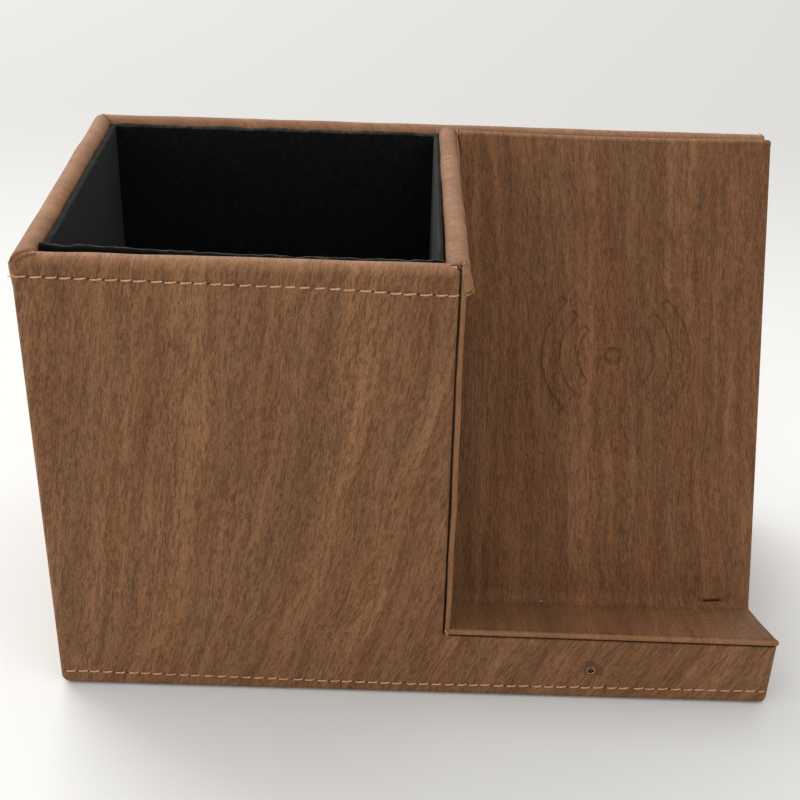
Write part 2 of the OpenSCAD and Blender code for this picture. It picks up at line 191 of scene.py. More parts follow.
class NT:
    """Small shorthand for node trees."""

    def __init__(self, nt):
        self.nt = nt

    def n(self, kind, **kw):
        node = self.nt.nodes.new("ShaderNode" + kind)
        for k, v in kw.items():
            setattr(node, k, v)
        return node

    def link(self, a, b):
        self.nt.links.new(a, b)

    def math(self, op, a, b=None, c=None, clamp=False):
        node = self.n("Math", operation=op, use_clamp=clamp)
        for i, v in enumerate((a, b, c)):
            if v is None:
                continue
            if isinstance(v, (int, float)):
                node.inputs[i].default_value = v
            else:
                self.link(v, node.inputs[i])
        return node.outputs[0]

    def comb(self, x, y, z):
        node = self.n("CombineXYZ")
        for i, v in enumerate((x, y, z)):
            if isinstance(v, (int, float)):
                node.inputs[i].default_value = v
            else:
                self.link(v, node.inputs[i])
        return node.outputs[0]

    def noise(self, vec, scale=1.0, detail=2.0, rough=0.5, dist=0.0, lac=2.0):
        node = self.n("TexNoise")
        node.inputs["Scale"].default_value = scale
        node.inputs["Detail"].default_value = detail
        node.inputs["Roughness"].default_value = rough
        node.inputs["Lacunarity"].default_value = lac
        node.inputs["Distortion"].default_value = dist
        self.link(vec, node.inputs["Vector"])
        return node.outputs["Fac"]

    def ramp(self, fac, stops, interp="LINEAR"):
        node = self.n("ValToRGB")
        cr = node.color_ramp
        cr.interpolation = interp
        while len(cr.elements) > len(stops):
            cr.elements.remove(cr.elements[-1])
        while len(cr.elements) < len(stops):
            cr.elements.new(1.0)
        for e, (p, c) in zip(cr.elements, stops):
            e.position = p
            e.color = (*c, 1) if len(c) == 3 else c
        self.link(fac, node.inputs[0])
        return node.outputs[0]

    def maprange(self, v, a, b, c, d, smoothstep=False):
        node = self.n("MapRange")
        node.interpolation_type = "SMOOTHSTEP" if smoothstep else "LINEAR"
        node.inputs["From Min"].default_value = a
        node.inputs["From Max"].default_value = b
        node.inputs["To Min"].default_value = c
        node.inputs["To Max"].default_value = d
        self.link(v, node.inputs["Value"])
        return node.outputs[0]

    def mixc(self, fac, a, b, mode="MIX"):
        node = self.n("Mix", data_type="RGBA", blend_type=mode)
        for sock, v in ((node.inputs[0], fac), (node.inputs[6], a), (node.inputs[7], b)):
            if isinstance(v, (int, float)):
                sock.default_value = v
            elif isinstance(v, tuple):
                sock.default_value = (*v, 1) if len(v) == 3 else v
            else:
                self.link(v, sock)
        return node.outputs[2]

    def bump(self, height, strength, distance):
        node = self.n("Bump")
        node.inputs["Strength"].default_value = strength
        node.inputs["Distance"].default_value = distance
        self.link(height, node.inputs["Height"])
        return node.outputs[0]


def srgb(r, g, b):
    def f(c):
        c /= 255
        return c / 12.92 if c <= 0.04045 else ((c + 0.055) / 1.055) ** 2.4
    return (f(r), f(g), f(b))


def wood_leather(name, seed=0.0, dark=(86, 51, 24), mid=(123, 82, 49), light=(139, 96, 61), pore=0.58, band=1.0, warp=2.6, press_and_shade=False, line_w=0.52):
    """Printed walnut grain on matt polyurethane leather. Attribute grain = (across mm, along mm, seed)."""
    m, nt, bs = new_mat(name)
    t = NT(nt)
    at = t.n("Attribute", attribute_name="grain")
    sep = t.n("SeparateXYZ")
    t.link(at.outputs["Vector"], sep.inputs[0])
    a, b, s = sep.outputs
    s = t.math("ADD", s, seed)
    w1 = t.noise(t.comb(t.math("MULTIPLY", a, 0.022), t.math("MULTIPLY", b, 0.010), s), 1.0, 1.0, 0.5)
    w2 = t.noise(t.comb(t.math("MULTIPLY", a, 0.11), t.math("MULTIPLY", b, 0.045), t.math("ADD", s, 11.3)), 1.0, 2.0, 0.55)
    w3 = t.noise(t.comb(t.math("MULTIPLY", a, 0.55), t.math("MULTIPLY", b, 0.30), t.math("ADD", s, 17.9)), 1.0, 1.0, 0.5)
    a1 = t.math("ADD", a, t.math("MULTIPLY", t.math("SUBTRACT", w1, 0.5), warp * 4))
    a1 = t.math("ADD", a1, t.math("MULTIPLY", t.math("SUBTRACT", w2, 0.5), 2.4))
    a1 = t.math("ADD", a1, t.math("MULTIPLY", t.math("SUBTRACT", w3, 0.5), 0.35))
    # wide soft figure
    bands = t.noise(t.comb(t.math("MULTIPLY", a1, 0.10), t.math("MULTIPLY", b, 0.0055), t.math("ADD", s, 3.1)), 1.0, 2.0, 0.55)
    stripe = t.noise(t.comb(t.math("MULTIPLY", a1, 0.42), t.math("MULTIPLY", b, 0.022), t.math("ADD", s, 5.7)), 1.0, 2.0, 0.6)
    # thin dark lines, the short pores between them, and fine fibres
    line = t.noise(t.comb(t.math("MULTIPLY", a1, 1.45), t.math("MULTIPLY", b, 0.18), t.math("ADD", s, 29.4)), 1.0, 3.0, 0.66)
    pores = t.noise(t.comb(t.math("MULTIPLY", a1, 2.6), t.math("MULTIPLY", b, 0.45), t.math("ADD", s, 8.9)), 1.0, 2.0, 0.62)
    pores2 = t.noise(t.comb(t.math("MULTIPLY", a1, 3.9), t.math("MULTIPLY", b, 1.0), t.math("ADD", s, 21.9)), 1.0, 1.0, 0.5)
    fibre = t.noise(t.comb(t.math("MULTIPLY", a1, 4.8), t.math("MULTIPLY", b, 0.42), t.math("ADD", s, 14.2)), 1.0, 2.0, 0.6)
    hue = t.noise(t.comb(t.math("MULTIPLY", a1, 0.21), t.math("MULTIPLY", b, 0.016), t.math("ADD", s, 33.3)), 1.0, 2.0, 0.5)
    tone = t.math("ADD", t.math("MULTIPLY", bands, 0.55 * band), t.math("ADD", t.math("MULTIPLY", stripe, 0.45), 0.5 - 0.275 * band - 0.225))
    D, M_, L = srgb(*dark), srgb(*mid), srgb(*light)
    half = tuple(0.45 * x + 0.55 * y for x, y in zip(D, M_))
    col = t.ramp(tone, [(0.34, half), (0.50, M_), (0.64, L)])
    col = t.mixc(t.maprange(hue, 0.40, 0.60, 0.0, 0.30), col, srgb(114, 85, 57))
    lm = t.maprange(line, 0.515, 0.605, 0.0, 1.0, True)
    col = t.mixc(t.math("MULTIPLY", lm, line_w), col, D)
    pm = t.maprange(pores, 0.52, 0.64, 0.0, 1.0, True)
    pm2 = t.maprange(pores2, 0.56, 0.72, 0.0, 0.6, True)
    clus = t.maprange(stripe, 0.36, 0.62, 1.0, 0.55)
    pmask = t.math("MULTIPLY", t.math("MAXIMUM", pm, pm2), clus)
    col = t.mixc(t.math("MULTIPLY", pmask, pore), col, tuple(c * k for c, k in zip(D, (0.78, 0.74, 0.66))))
    fb = t.maprange(fibre, 0.30, 0.70, -0.13, 0.13)
    grit = t.noise(t.comb(t.math("MULTIPLY", a, 3.1), t.math("MULTIPLY", b, 1.5), t.math("ADD", s, 41.0)), 1.0, 2.0, 0.6)
    fb = t.math("ADD", fb, t.maprange(grit, 0.32, 0.68, -0.10, 0.10))
    bright = t.n("HueSaturation")
    t.link(t.math("ADD", fb, 1.0), bright.inputs["Value"])
    t.link(col, bright.inputs["Color"])
    col = bright.outputs[0]
    # lighter tone: painted highlight on top rims, rounded edges, the crest and the ledge, where they catch the light;
    # partly stretch wear at the folds
    wear_hl_attr = t.n("Attribute", attribute_name="wear_and_painted_highlight")
    col = t.mixc(t.math("MULTIPLY", wear_hl_attr.outputs["Fac"], 0.40), col, srgb(158, 112, 76))
    # painted shade: near-black with the specular turned off, in the seam under the ledge, in the crease and under the
    # nose, where shade falls
    shade_attr = t.n("Attribute", attribute_name="painted_shade")
    col = t.mixc(t.math("MULTIPLY", shade_attr.outputs["Fac"], 0.94), col, srgb(38, 20, 11))
    if press_and_shade:
        # groove shoulders darkened: partly the pressed finish, partly painted shade in the grooves
        pa = t.n("Attribute", attribute_name="press_and_shade")
        col = t.mixc(t.math("MULTIPLY", pa.outputs["Fac"], 0.46), col, tuple(c * 0.42 for c in D))
    t.link(col, bs.inputs["Base Color"])
    rough = t.maprange(stripe, 0.3, 0.7, 0.72, 0.60)
    t.link(rough, bs.inputs["Roughness"])
    t.link(t.maprange(shade_attr.outputs["Fac"], 0.0, 1.0, 0.30, 0.0), bs.inputs["Specular IOR Level"])
    bs.inputs["Sheen Weight"].default_value = 0.02
    bs.inputs["Sheen Roughness"].default_value = 0.45
    bs.inputs["Sheen Tint"].default_value = (1.0, 0.80, 0.62, 1)
    peb = t.noise(t.comb(t.math("MULTIPLY", a, 3.0), t.math("MULTIPLY", b, 2.1), t.math("ADD", s, 2.0)), 1.0, 2.0, 0.5)
    h = t.math("ADD", t.math("MULTIPLY", pmask, -1.0), t.math("ADD", t.math("MULTIPLY", peb, 0.95), t.math("MULTIPLY", fibre, 0.35)))
    t.link(t.bump(t.math("ADD", h, t.math("MULTIPLY", lm, -0.5)), 0.85, 0.00022), bs.inputs["Normal"])
    return m


def felt_mat(name):
    m, nt, bs = new_mat(name)
    t = NT(nt)
    tc = t.n("TexCoord")
    sep = t.n("SeparateXYZ")
    t.link(tc.outputs["Object"], sep.inputs[0])
    n1 = t.noise(tc.outputs["Object"], 900, 3, 0.6)
    n2 = t.noise(tc.outputs["Object"], 3200, 2, 0.6, 1.5)
    n3 = t.noise(tc.outputs["Object"], 60, 2, 0.5)
    ea = t.n("Attribute", attribute_name="edge")
    base = t.ramp(n1, [(0.35, (0.0022, 0.0027, 0.0027)), (0.62, (0.0050, 0.0056, 0.0054)), (0.80, (0.011, 0.0115, 0.011))])
    lint = t.maprange(n2, 0.72, 0.80, 0.0, 0.4, True)
    base = t.mixc(lint, base, (0.035, 0.037, 0.036))
    # lighter grey on the cut top edges, weighted per panel: painted sheen where the fibres catch the light
    base = t.mixc(t.math("MULTIPLY", t.math("MULTIPLY", ea.outputs["Fac"], t.maprange(n1, 0.35, 0.65, 0.25, 1.0)), 0.85), base, (0.105, 0.101, 0.088))
    t.link(base, bs.inputs["Base Color"])
    bs.inputs["Roughness"].default_value = 1.0
    bs.inputs["Specular IOR Level"].default_value = 0.12
    bs.inputs["Sheen Weight"].default_value = 0.10
    bs.inputs["Sheen Roughness"].default_value = 0.35
    bs.inputs["Sheen Tint"].default_value = (0.62, 0.66, 0.64, 1)
    h = t.math("ADD", t.math("MULTIPLY", n1, 1.0), t.math("ADD", t.math("MULTIPLY", n2, 0.5), t.math("MULTIPLY", n3, 0.6)))
    t.link(t.bump(h, 0.7, 0.0004), bs.inputs["Normal"])
    return m


def simple_mat(name, c0, c1, scale, rough=(0.4, 0.6), metallic=0.0, bump=0.0, stretch=(1, 1, 1), detail=3.0, spec=0.5, coat=0.0, lo=0.35, hi=0.65):
    m, nt, bs = new_mat(name)
    t = NT(nt)
    tc = t.n("TexCoord")
    mp = t.n("Mapping")
    mp.inputs["Scale"].default_value = stretch
    t.link(tc.outputs["Object"], mp.inputs[0])
    n = t.noise(mp.outputs[0], scale, detail, 0.55)
    t.link(t.ramp(n, [(lo, c0), (hi, c1)]), bs.inputs["Base Color"])
    t.link(t.maprange(n, 0.3, 0.7, rough[0], rough[1]), bs.inputs["Roughness"])
    bs.inputs["Metallic"].default_value = metallic
    bs.inputs["Specular IOR Level"].default_value = spec
    bs.inputs["Coat Weight"].default_value = coat
    if bump:
        n2 = t.noise(mp.outputs[0], scale * 3, 2, 0.6)
        t.link(t.bump(t.math("ADD", n, n2), 0.5, bump), bs.inputs["Normal"])
    return m


def pcb_mat(name):
    m, nt, bs = new_mat(name)
    t = NT(nt)
    tc = t.n("TexCoord")
    br = t.n("TexBrick")
    br.offset = 0.37
    br.inputs["Scale"].default_value = 170
    br.inputs["Mortar Size"].default_value = 0.035
    br.inputs["Color1"].default_value = (0.006, 0.085, 0.035, 1)
    br.inputs["Color2"].default_value = (0.008, 0.105, 0.045, 1)
    br.inputs["Mortar"].default_value = (0.02, 0.19, 0.085, 1)
    t.link(tc.outputs["Object"], br.inputs["Vector"])
    vo = t.n("TexVoronoi")
    vo.inputs["Scale"].default_value = 420
    t.link(tc.outputs["Object"], vo.inputs["Vector"])
    pad = t.maprange(vo.outputs["Distance"], 0.10, 0.16, 1.0, 0.0, True)
    t.link(t.mixc(pad, br.outputs["Color"], (0.55, 0.52, 0.42)), bs.inputs["Base Color"])
    t.link(t.maprange(pad, 0, 1, 0.30, 0.45), bs.inputs["Roughness"])
    t.link(t.bump(br.outputs["Fac"], 0.3, 0.00004), bs.inputs["Normal"])
    return m


LEATHER_F = wood_leather("leather_front", 1.0, warp=2.0)
LEATHER_R = wood_leather("leather_rest", 40.0, dark=(78, 46, 22), mid=(114, 73, 41), light=(130, 87, 54), warp=2.4, pore=0.44, line_w=0.42, press_and_shade=True)
LEATHER_B = wood_leather("leather_body", 80.0, dark=(88, 55, 32), mid=(122, 82, 52), light=(136, 94, 62), pore=0.42, line_w=0.45)
# lighter, lower-contrast copy of the leather for the divider's rim and its folded end: painted highlight where the rim
# catches the light
LEATHER_RIM_LIT = wood_leather("leather_divider_lit", 120.0, dark=(104, 68, 42), mid=(134, 92, 61), light=(143, 99, 66), pore=0.22, line_w=0.28, band=0.6)
FELT = felt_mat("felt_black")
THREAD = simple_mat("thread_tan", srgb(158, 112, 80), srgb(200, 152, 114), 2600, (0.55, 0.75), bump=0.00006, stretch=(1, 1, 1))
# near-black for the needle holes: painted shade inside them
HOLE_SHADE = simple_mat("needle_hole_painted_shade", (0.020, 0.010, 0.006), (0.036, 0.019, 0.011), 900, (0.8, 0.95))
RAW = simple_mat("leather_backing", srgb(128, 98, 74), srgb(190, 160, 130), 1500, (0.8, 0.95), bump=0.00005)
# near-black stand-in for the shade in seams and gaps: painted shade
SEAM_SHADE = simple_mat("painted_seam_shade", (0.012, 0.006, 0.004), (0.03, 0.015, 0.010), 700, (0.7, 0.9))
BOARD = simple_mat("fibreboard", srgb(150, 122, 88), srgb(176, 148, 112), 900, (0.8, 0.95), bump=0.0001)
# dark card under the ledge, dark so that the seam above the strip reads as shade: painted shade
SEAM_SHADE_CARD = simple_mat("card_painted_seam_shade", srgb(40, 24, 15), srgb(58, 36, 23), 1300, (0.85, 0.95), bump=0.00006, spec=0.1)
CARD = simple_mat("grey_card", srgb(150, 138, 118), srgb(176, 164, 144), 1300, (0.85, 0.95), bump=0.00006)
LINER = simple_mat("underside_paper", (0.012, 0.012, 0.012), (0.028, 0.028, 0.028), 1400, (0.85, 1.0), bump=0.00012)
WHITE = simple_mat("abs_white", srgb(222, 222, 218), srgb(236, 236, 232), 700, (0.42, 0.55), bump=0.00002)
BLACKP = simple_mat("plastic_black", (0.012, 0.012, 0.012), (0.022, 0.022, 0.023), 1600, (0.38, 0.52), bump=0.00003)
CHIP = simple_mat("epoxy_black", (0.010, 0.010, 0.011), (0.020, 0.020, 0.021), 3000, (0.45, 0.6), bump=0.00002)
STEEL = simple_mat("stamped_steel", (0.52, 0.52, 0.54), (0.66, 0.66, 0.68), 500, (0.22, 0.38), 1.0, 0.00001, (1, 12, 1))
SCREW = simple_mat("screw_nickel", (0.56, 0.55, 0.52), (0.70, 0.69, 0.66), 900, (0.20, 0.35), 1.0, 0.00001)
COPPER = simple_mat("litz_copper", (0.55, 0.20, 0.07), (0.78, 0.36, 0.15), 2600, (0.30, 0.45), 0.85, 0.00005, coat=0.3)
FERRITE = simple_mat("ferrite_grey", (0.020, 0.020, 0.022), (0.045, 0.045, 0.048), 1100, (0.55, 0.7), 0.1, 0.00003)
CERAMIC = simple_mat("capacitor_tan", srgb(150, 118, 84), srgb(178, 146, 108), 1500, (0.4, 0.55))
TAPE = simple_mat("foam_tape", srgb(214, 210, 196), srgb(232, 228, 216), 1800, (0.85, 0.95), bump=0.0001)
WIRE = simple_mat("wire_red", (0.35, 0.012, 0.010), (0.50, 0.03, 0.022), 900, (0.4, 0.5))
# the clear lamp is coloured near-black: painted shade inside the light hole
LAMP_SHADE = simple_mat("lamp_painted_shade", (0.003, 0.003, 0.003), (0.007, 0.007, 0.007), 400, (0.35, 0.45), spec=0.2)
TIN = simple_mat("tinned_wire", (0.55, 0.55, 0.55), (0.72, 0.72, 0.72), 1300, (0.25, 0.4), 1.0)
PCB = pcb_mat("solder_mask")

for nodes, mat in ((("base_board", "front_board", "left_wall_board", "back_board", "divider_board", "side_wedge_board"), BOARD),
                   (("divider_side_card", "rest_card"), CARD), (("ledge_card",), SEAM_SHADE_CARD), (("base_liner",), LINER),
                   (("charger_tray", "charger_cover"), WHITE), (("cover_screws",), SCREW), (("transmit_coil", "coil_leads"), COPPER),
                   (("ferrite_sheet",), FERRITE), (("charger_pcb", "usb_board"), PCB), (("controller_chip", "bridge_mosfets", "power_inductor"), CHIP),
                   (("resonant_capacitors",), CERAMIC), (("usb_shell",), STEEL), (("usb_tongue", "port_bezel"), BLACKP), (("module_tape",), TAPE),
                   (("power_lead",), WIRE), (("led_lamp",), LAMP_SHADE), (("led_leads",), TIN)):
    for nd in nodes:
        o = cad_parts[nd]
        o.data.materials.clear()
        o.data.materials.append(mat)

# ------------------------------------------------------------------ front panel covering (L-shaped, turned over every edge)


def arc_steps(n):
    return np.linspace(0, np.pi / 2, n)


def front_panel():
    zs = 19.30                                  # top of the low strip under the ledge
    # corners, counter-clockwise seen from the front: x, z, radius, convex
    C = [(XL, BOT, 2.3, 1), (XR - 0.05, BOT, 1.6, 1), (XR - 0.05, zs, 1.0, 1), (SEAM, zs, 1.25, -1), (SEAM, H, 1.5, 1), (XL, H, 1.9, 1)]
    # edges between corner i and i+1: front radius, back y, back radius, lip length, direction of inset (outward normal)
    E = [dict(n=(0, -1), rf=1.25, yb=YF + 3.0, rb=0.5, lip=1.3), dict(n=(1, 0), rf=1.6, yb=YF + 4.2, rb=0.6, lip=3.0),
         dict(n=(0, 1), rf=0.85, yb=YF + 4.6, rb=0.6, lip=3.0), dict(n=(1, 0), rf=0.8, yb=YF + 4.6, rb=0.6, lip=3.0),
         dict(n=(0, 1), rf=2.45, yb=YF + WALL, rb=2.45, lip=14.0), dict(n=(-1, 0), rf=1.35, yb=YF + 4.25, rb=0.5, lip=1.0)]
    nc = len(C)
    NA = 9
    # profile: function of edge parameters -> list of (w, y, arc length)
    def profile(e):
        rf, rb, yb, lip = e["rf"], e["rb"], e["yb"], e["lip"]
        pts = []
        for th in np.linspace(0, np.pi / 2, 11):
            pts.append((rf * (1 - math.sin(th)), YF + rf * (1 - math.cos(th))))
        pts.append((0.0, 0.5 * (YF + rf + yb - rb)))
        for th in np.linspace(np.pi / 2, 0, 9):
            pts.append((rb * (1 - math.sin(th)), yb - rb * (1 - math.cos(th))))
        pts.append((max(lip, rb + 0.05), yb))
        ri = max(rb - SK, 0.1)
        pts.append((max(lip, rb + 0.05), yb - SK))
        pts.append((SK + ri, yb - SK))
        pts.append((SK, yb - SK - ri))
        rj = max(rf - SK, 0.1)
        pts.append((SK, YF + SK + rj))
        pts.append((SK + rj * 0.3, YF + SK + rj * 0.3))
        pts.append((SK + rj, YF + SK))
        return np.array(pts)
    PR = [profile(e) for e in E]
    nr = len(PR[0])
    rings = []
    for k in range(nr):
        ring = []
        for i in range(nc):
            ep, en = E[i - 1], E[i]
            wp, yp = PR[i - 1][k]
            wn, yn = PR[i][k]
            x, z, r, cv = C[i]
            # offset both edges inward
            dx = -ep["n"][0] * wp - en["n"][0] * wn
            dz = -ep["n"][1] * wp - en["n"][1] * wn
            px, pz = x + dx, z + dz
            w = max(wp, wn)
            rr = max(r - w, 0.06) if cv > 0 else r + w * 0.8
            # travel directions along the previous and next edge (counter-clockwise)
            tp = np.array([-ep["n"][1], ep["n"][0]], float)
            tn = np.array([-en["n"][1], en["n"][0]], float)
            a0 = np.array([px, pz]) - tp * rr
            a1 = np.array([px, pz]) + tn * rr
            ctr = np.array([px, pz]) - tp * rr + tn * rr
            for q in range(NA):
                f = q / (NA - 1)
                ang = f * np.pi / 2
                p = ctr + (a0 - ctr) * math.cos(ang) + (a1 - ctr) * math.sin(ang)
                ring.append((p[0], yp * (1 - f) + yn * f, p[1]))
            # points along the next edge
            x2, z2, r2, cv2 = C[(i + 1) % nc]
            en2 = E[(i + 1) % nc]
            wn2, _ = PR[(i + 1) % nc][k]
            p2 = np.array([x2 - en["n"][0] * wn - en2["n"][0] * wn2, z2 - en["n"][1] * wn - en2["n"][1] * wn2])
            w2 = max(wn, wn2)
            rr2 = max(r2 - w2, 0.06) if cv2 > 0 else r2 + w2 * 0.8
            b0, b1 = a1, p2 - tn * rr2
            ln = np.linalg.norm(np.array([x2, z2]) - np.array([x, z]))
            m = max(2, int(ln / 2.2))
            for q in range(1, m):
                f = q / m
                p = b0 * (1 - f) + b1 * f
                ring.append((p[0], yn, p[1]))
        rings.append(ring)
    V = np.array(rings)                          # nr, m, 3
    nm = V.shape[1]
    # front face centre: inner rows of points so that the face is a real surface
    # unwrapped coordinates
    arc = np.zeros((nr, nm))
    arc[1:] = np.cumsum(np.linalg.norm(np.diff(V, axis=0), axis=2), axis=0)
    # hand-made unevenness on the rim
    wv = Waves(3, 16)
    P = V.reshape(-1, 3)
    top = smooth(H - 6, H - 1, P[:, 2])
    P2 = P.copy()
    P2[:, 2] += top * 0.09 * wv(P * [1, 0.2, 0.2]) - 0.05 * top
    P2[:, 1] += top * 0.10 * Waves(9, 11)(P * [1, 0.2, 0.2]) * smooth(YF, YF + 1, P[:, 1])
    # rim ends dip a little at both corners
    P2[:, 2] -= 1.15 * (1 - smooth(XL - 0.5, XL + 5.5, P[:, 0])) * smooth(H - 3, H, P[:, 2])
    P2[:, 0] -= 0.45 * (1 - smooth(XL + 0.5, XL + 3, P[:, 0])) * smooth(H - 9, H - 2.5, P[:, 2])
    P2[:, 2] -= 0.5 * smooth(SEAM - 3.0, SEAM, P[:, 0]) * smooth(H - 3, H, P[:, 2])
    P2[:, 2] -= 0.50 * smooth(H - 9, H - 1, P[:, 2])
    P2[:, 0] += 0.65 * (1 - smooth(19, 112, P[:, 2])) * smooth(zs - 2.0, zs - 0.6, P[:, 2]) * smooth(SEAM - 7, SEAM - 0.5, P[:, 0]) * (1 - smooth(SEAM + 2, SEAM + 9, P[:, 0]))
    # the strip's top edge falls slightly to the right
    P2[:, 2] += smooth(11, 19, P[:, 2]) * smooth(SEAM - 1, SEAM + 1, P[:, 0]) * (1 - smooth(30, 60, P[:, 2])) * (0.35 - 0.65 * (P[:, 0] - SEAM) / 83)
    V = P2.reshape(nr, nm, 3)
    # unwrap: points beyond the front face continue outward by arc length
    U = V.copy()
    base = V[0]
    for k in range(1, nr):
        d = V[k] - base
        out = np.stack([V[k][:, 0] - base[:, 0], V[k][:, 2] - base[:, 2]], 1)
        # direction outward in the face's plane, from the first ring to the silhouette ring
        dirn = np.stack([V[10][:, 0] - base[:, 0], V[10][:, 2] - base[:, 2]], 1)
        n_ = np.linalg.norm(dirn, axis=1)[:, None]
        n_[n_ < 1e-6] = 1
        dirn = dirn / n_
        U[k][:, 0] = base[:, 0] + dirn[:, 0] * arc[k]
        U[k][:, 2] = base[:, 2] + dirn[:, 1] * arc[k]
    verts = V.reshape(-1, 3)
    uu = U.reshape(-1, 3)
    faces = [f[::-1] for f in grid_faces(nr, nm, close_v=True)]
    (vc, ed, fc, ov, oe, of), n_in = front_face_fill(verts, nm, None)
    idx = []
    extra_v = []
    for k, src in enumerate(ov):
        if src and src[0] < nm:
            idx.append(src[0])
        else:
            idx.append(len(verts) + len(extra_v))
            x, z = vc[k]
            p = np.array([x, YF, z])
            lift = 0.13 * float(Waves(51, 34)(p * [1, 0, 1])) - 0.06
            extra_v.append((x, YF + 0.0 - lift * float(smooth(0, 8, min(x - XL, H - z, z - BOT))) * 0.9 + 0.0, z))
    nring = len(verts)
    verts = np.concatenate([verts, np.array(extra_v)])
    uu = np.concatenate([uu, np.array(extra_v)])
    for f in fc:
        faces.append(tuple(idx[q] for q in f))
    last = (nr - 1) * nm
    faces.append(tuple(range(last, last + nm))[::-1])
    # grain leans to the right at the top, more so low down on the right
    sz = 0.16 * uu[:, 2] - 0.27 * 38 * np.exp(-np.maximum(uu[:, 2], -12) / 38)
    lean = 0.62 + 0.72 * smooth(-95, 80, uu[:, 0])
    a = uu[:, 0] - lean * sz
    g = np.stack([a, uu[:, 2], np.zeros_like(a)], 1)
    return verts, faces, g


def front_face_fill(V, nm, g):
    """Fills the flat front with an even net of points, so that it carries the grain and a slight unevenness."""
    from mathutils.geometry import delaunay_2d_cdt
    ring = V[:nm]
    lo, hi = ring.min(0), ring.max(0)
    pts = [Vector((p[0], p[2])) for p in ring]
    inner = []
    for x in np.arange(lo[0] + 2.0, hi[0] - 1.0, 2.4):
        for z in np.arange(lo[2] + 1.6, hi[2] - 1.0, 2.4):
            left = x < SEAM - 2.4
            low = z < 19.3 - 2.2
            if (left or low) and ((x - 44.2) ** 2 + (z - 9.6) ** 2 > 2.0 ** 2):
                inner.append(Vector((x, z)))
    out = delaunay_2d_cdt(pts + inner, [(k, (k + 1) % nm) for k in range(nm)], [], 1, 1e-6)
    return out, len(inner)


def cut_front(ob):
    """Cuts the light hole."""
    import bmesh
    bm = bmesh.new()
    bm.from_mesh(ob.data)
    bmesh.ops.triangulate(bm, faces=[f for f in bm.faces if len(f.verts) > 20])
    bm.to_mesh(ob.data)
    bm.free()
    V, F = tube([(44.2, YF - 3, 9.6), (44.2, YF, 9.6), (44.2, YF + 3, 9.6)], 0.97, 40, up=(0, 0, 1))
    me = bpy.data.meshes.new("cutter")
    me.from_pydata((V * MM).tolist(), [], [list(f) for f in F])
    me.materials.append(SEAM_SHADE)
    cu = bpy.data.objects.new("cutter", me)
    bpy.context.scene.collection.objects.link(cu)
    fix_normals(cu)
    md = ob.modifiers.new("hole", "BOOLEAN")
    md.object = cu
    md.operation = "DIFFERENCE"
    md.solver = "EXACT"
    md.material_mode = "TRANSFER"
    dg = bpy.context.evaluated_depsgraph_get()
    ev = ob.evaluated_get(dg)
    new = bpy.data.meshes.new_from_object(ev, preserve_all_data_layers=True, depsgraph=dg)
    ob.modifiers.clear()
    old = ob.data
    ob.data = new
    bpy.data.meshes.remove(old)
    bpy.data.objects.remove(cu)


v, f, g = front_panel()
# the strip's top edge inside the seam under the ledge is painted near-black: painted shade where the nose overhangs it
seam_shade_mask = smooth(YF + 0.10, YF + 0.42, v[:, 1]) * (v[:, 0] > SEAM - 0.35) * (v[:, 0] < XR - 0.9) * (v[:, 2] > 17.5) * (v[:, 2] < 118.0) * (1 - smooth(YF + 5.0, YF + 6.0, v[:, 1]))
# the rim top is painted lighter: painted highlight where the top-facing rim catches the light
front = make("front_panel_covering", v, f, LEATHER_F, g, extra={"painted_shade": seam_shade_mask, "wear_and_painted_highlight": 0.95 * smooth(117.0, 119.3, v[:, 2])}, replaces=("front_skin",), auto=50)
fix_normals(front)
cut_front(front)

# ------------------------------------------------------------------ left wall and back: one covering swept round the corner


def wall_profile(lip=14.0, r=2.45):
    """(w, z) round a wall: up the outside, over the rim, down inside, and back along the hidden face. w is the distance in from outside."""
    pts = []
    pts.append((2.6, BOT + 0.8))
    pts.append((2.6, BOT))
    for th in np.linspace(0, np.pi / 2, 6):
        pts.append((1.2 * (1 - math.sin(th)), BOT + 1.2 * (1 - math.cos(th))))
    for z in np.linspace(BOT + 1.2, H - r, 40)[1:-1]:
        pts.append((0.0, z))
    for th in np.linspace(0, np.pi, 21):
        pts.append((WALL / 2 - r * math.cos(th) - (WALL / 2 - r) * math.cos(th), H - r + r * math.sin(th)))
    pts.append((WALL, H - lip))
    pts.append((WALL - SK, H - lip))
    for th in np.linspace(np.pi, 0, 9):
        pts.append((WALL / 2 - (r - SK) * math.cos(th), H - r + (r - SK) * math.sin(th)))
    pts.append((SK, 60.0))
    pts.append((SK, BOT + 0.8))
    return np.array(pts)


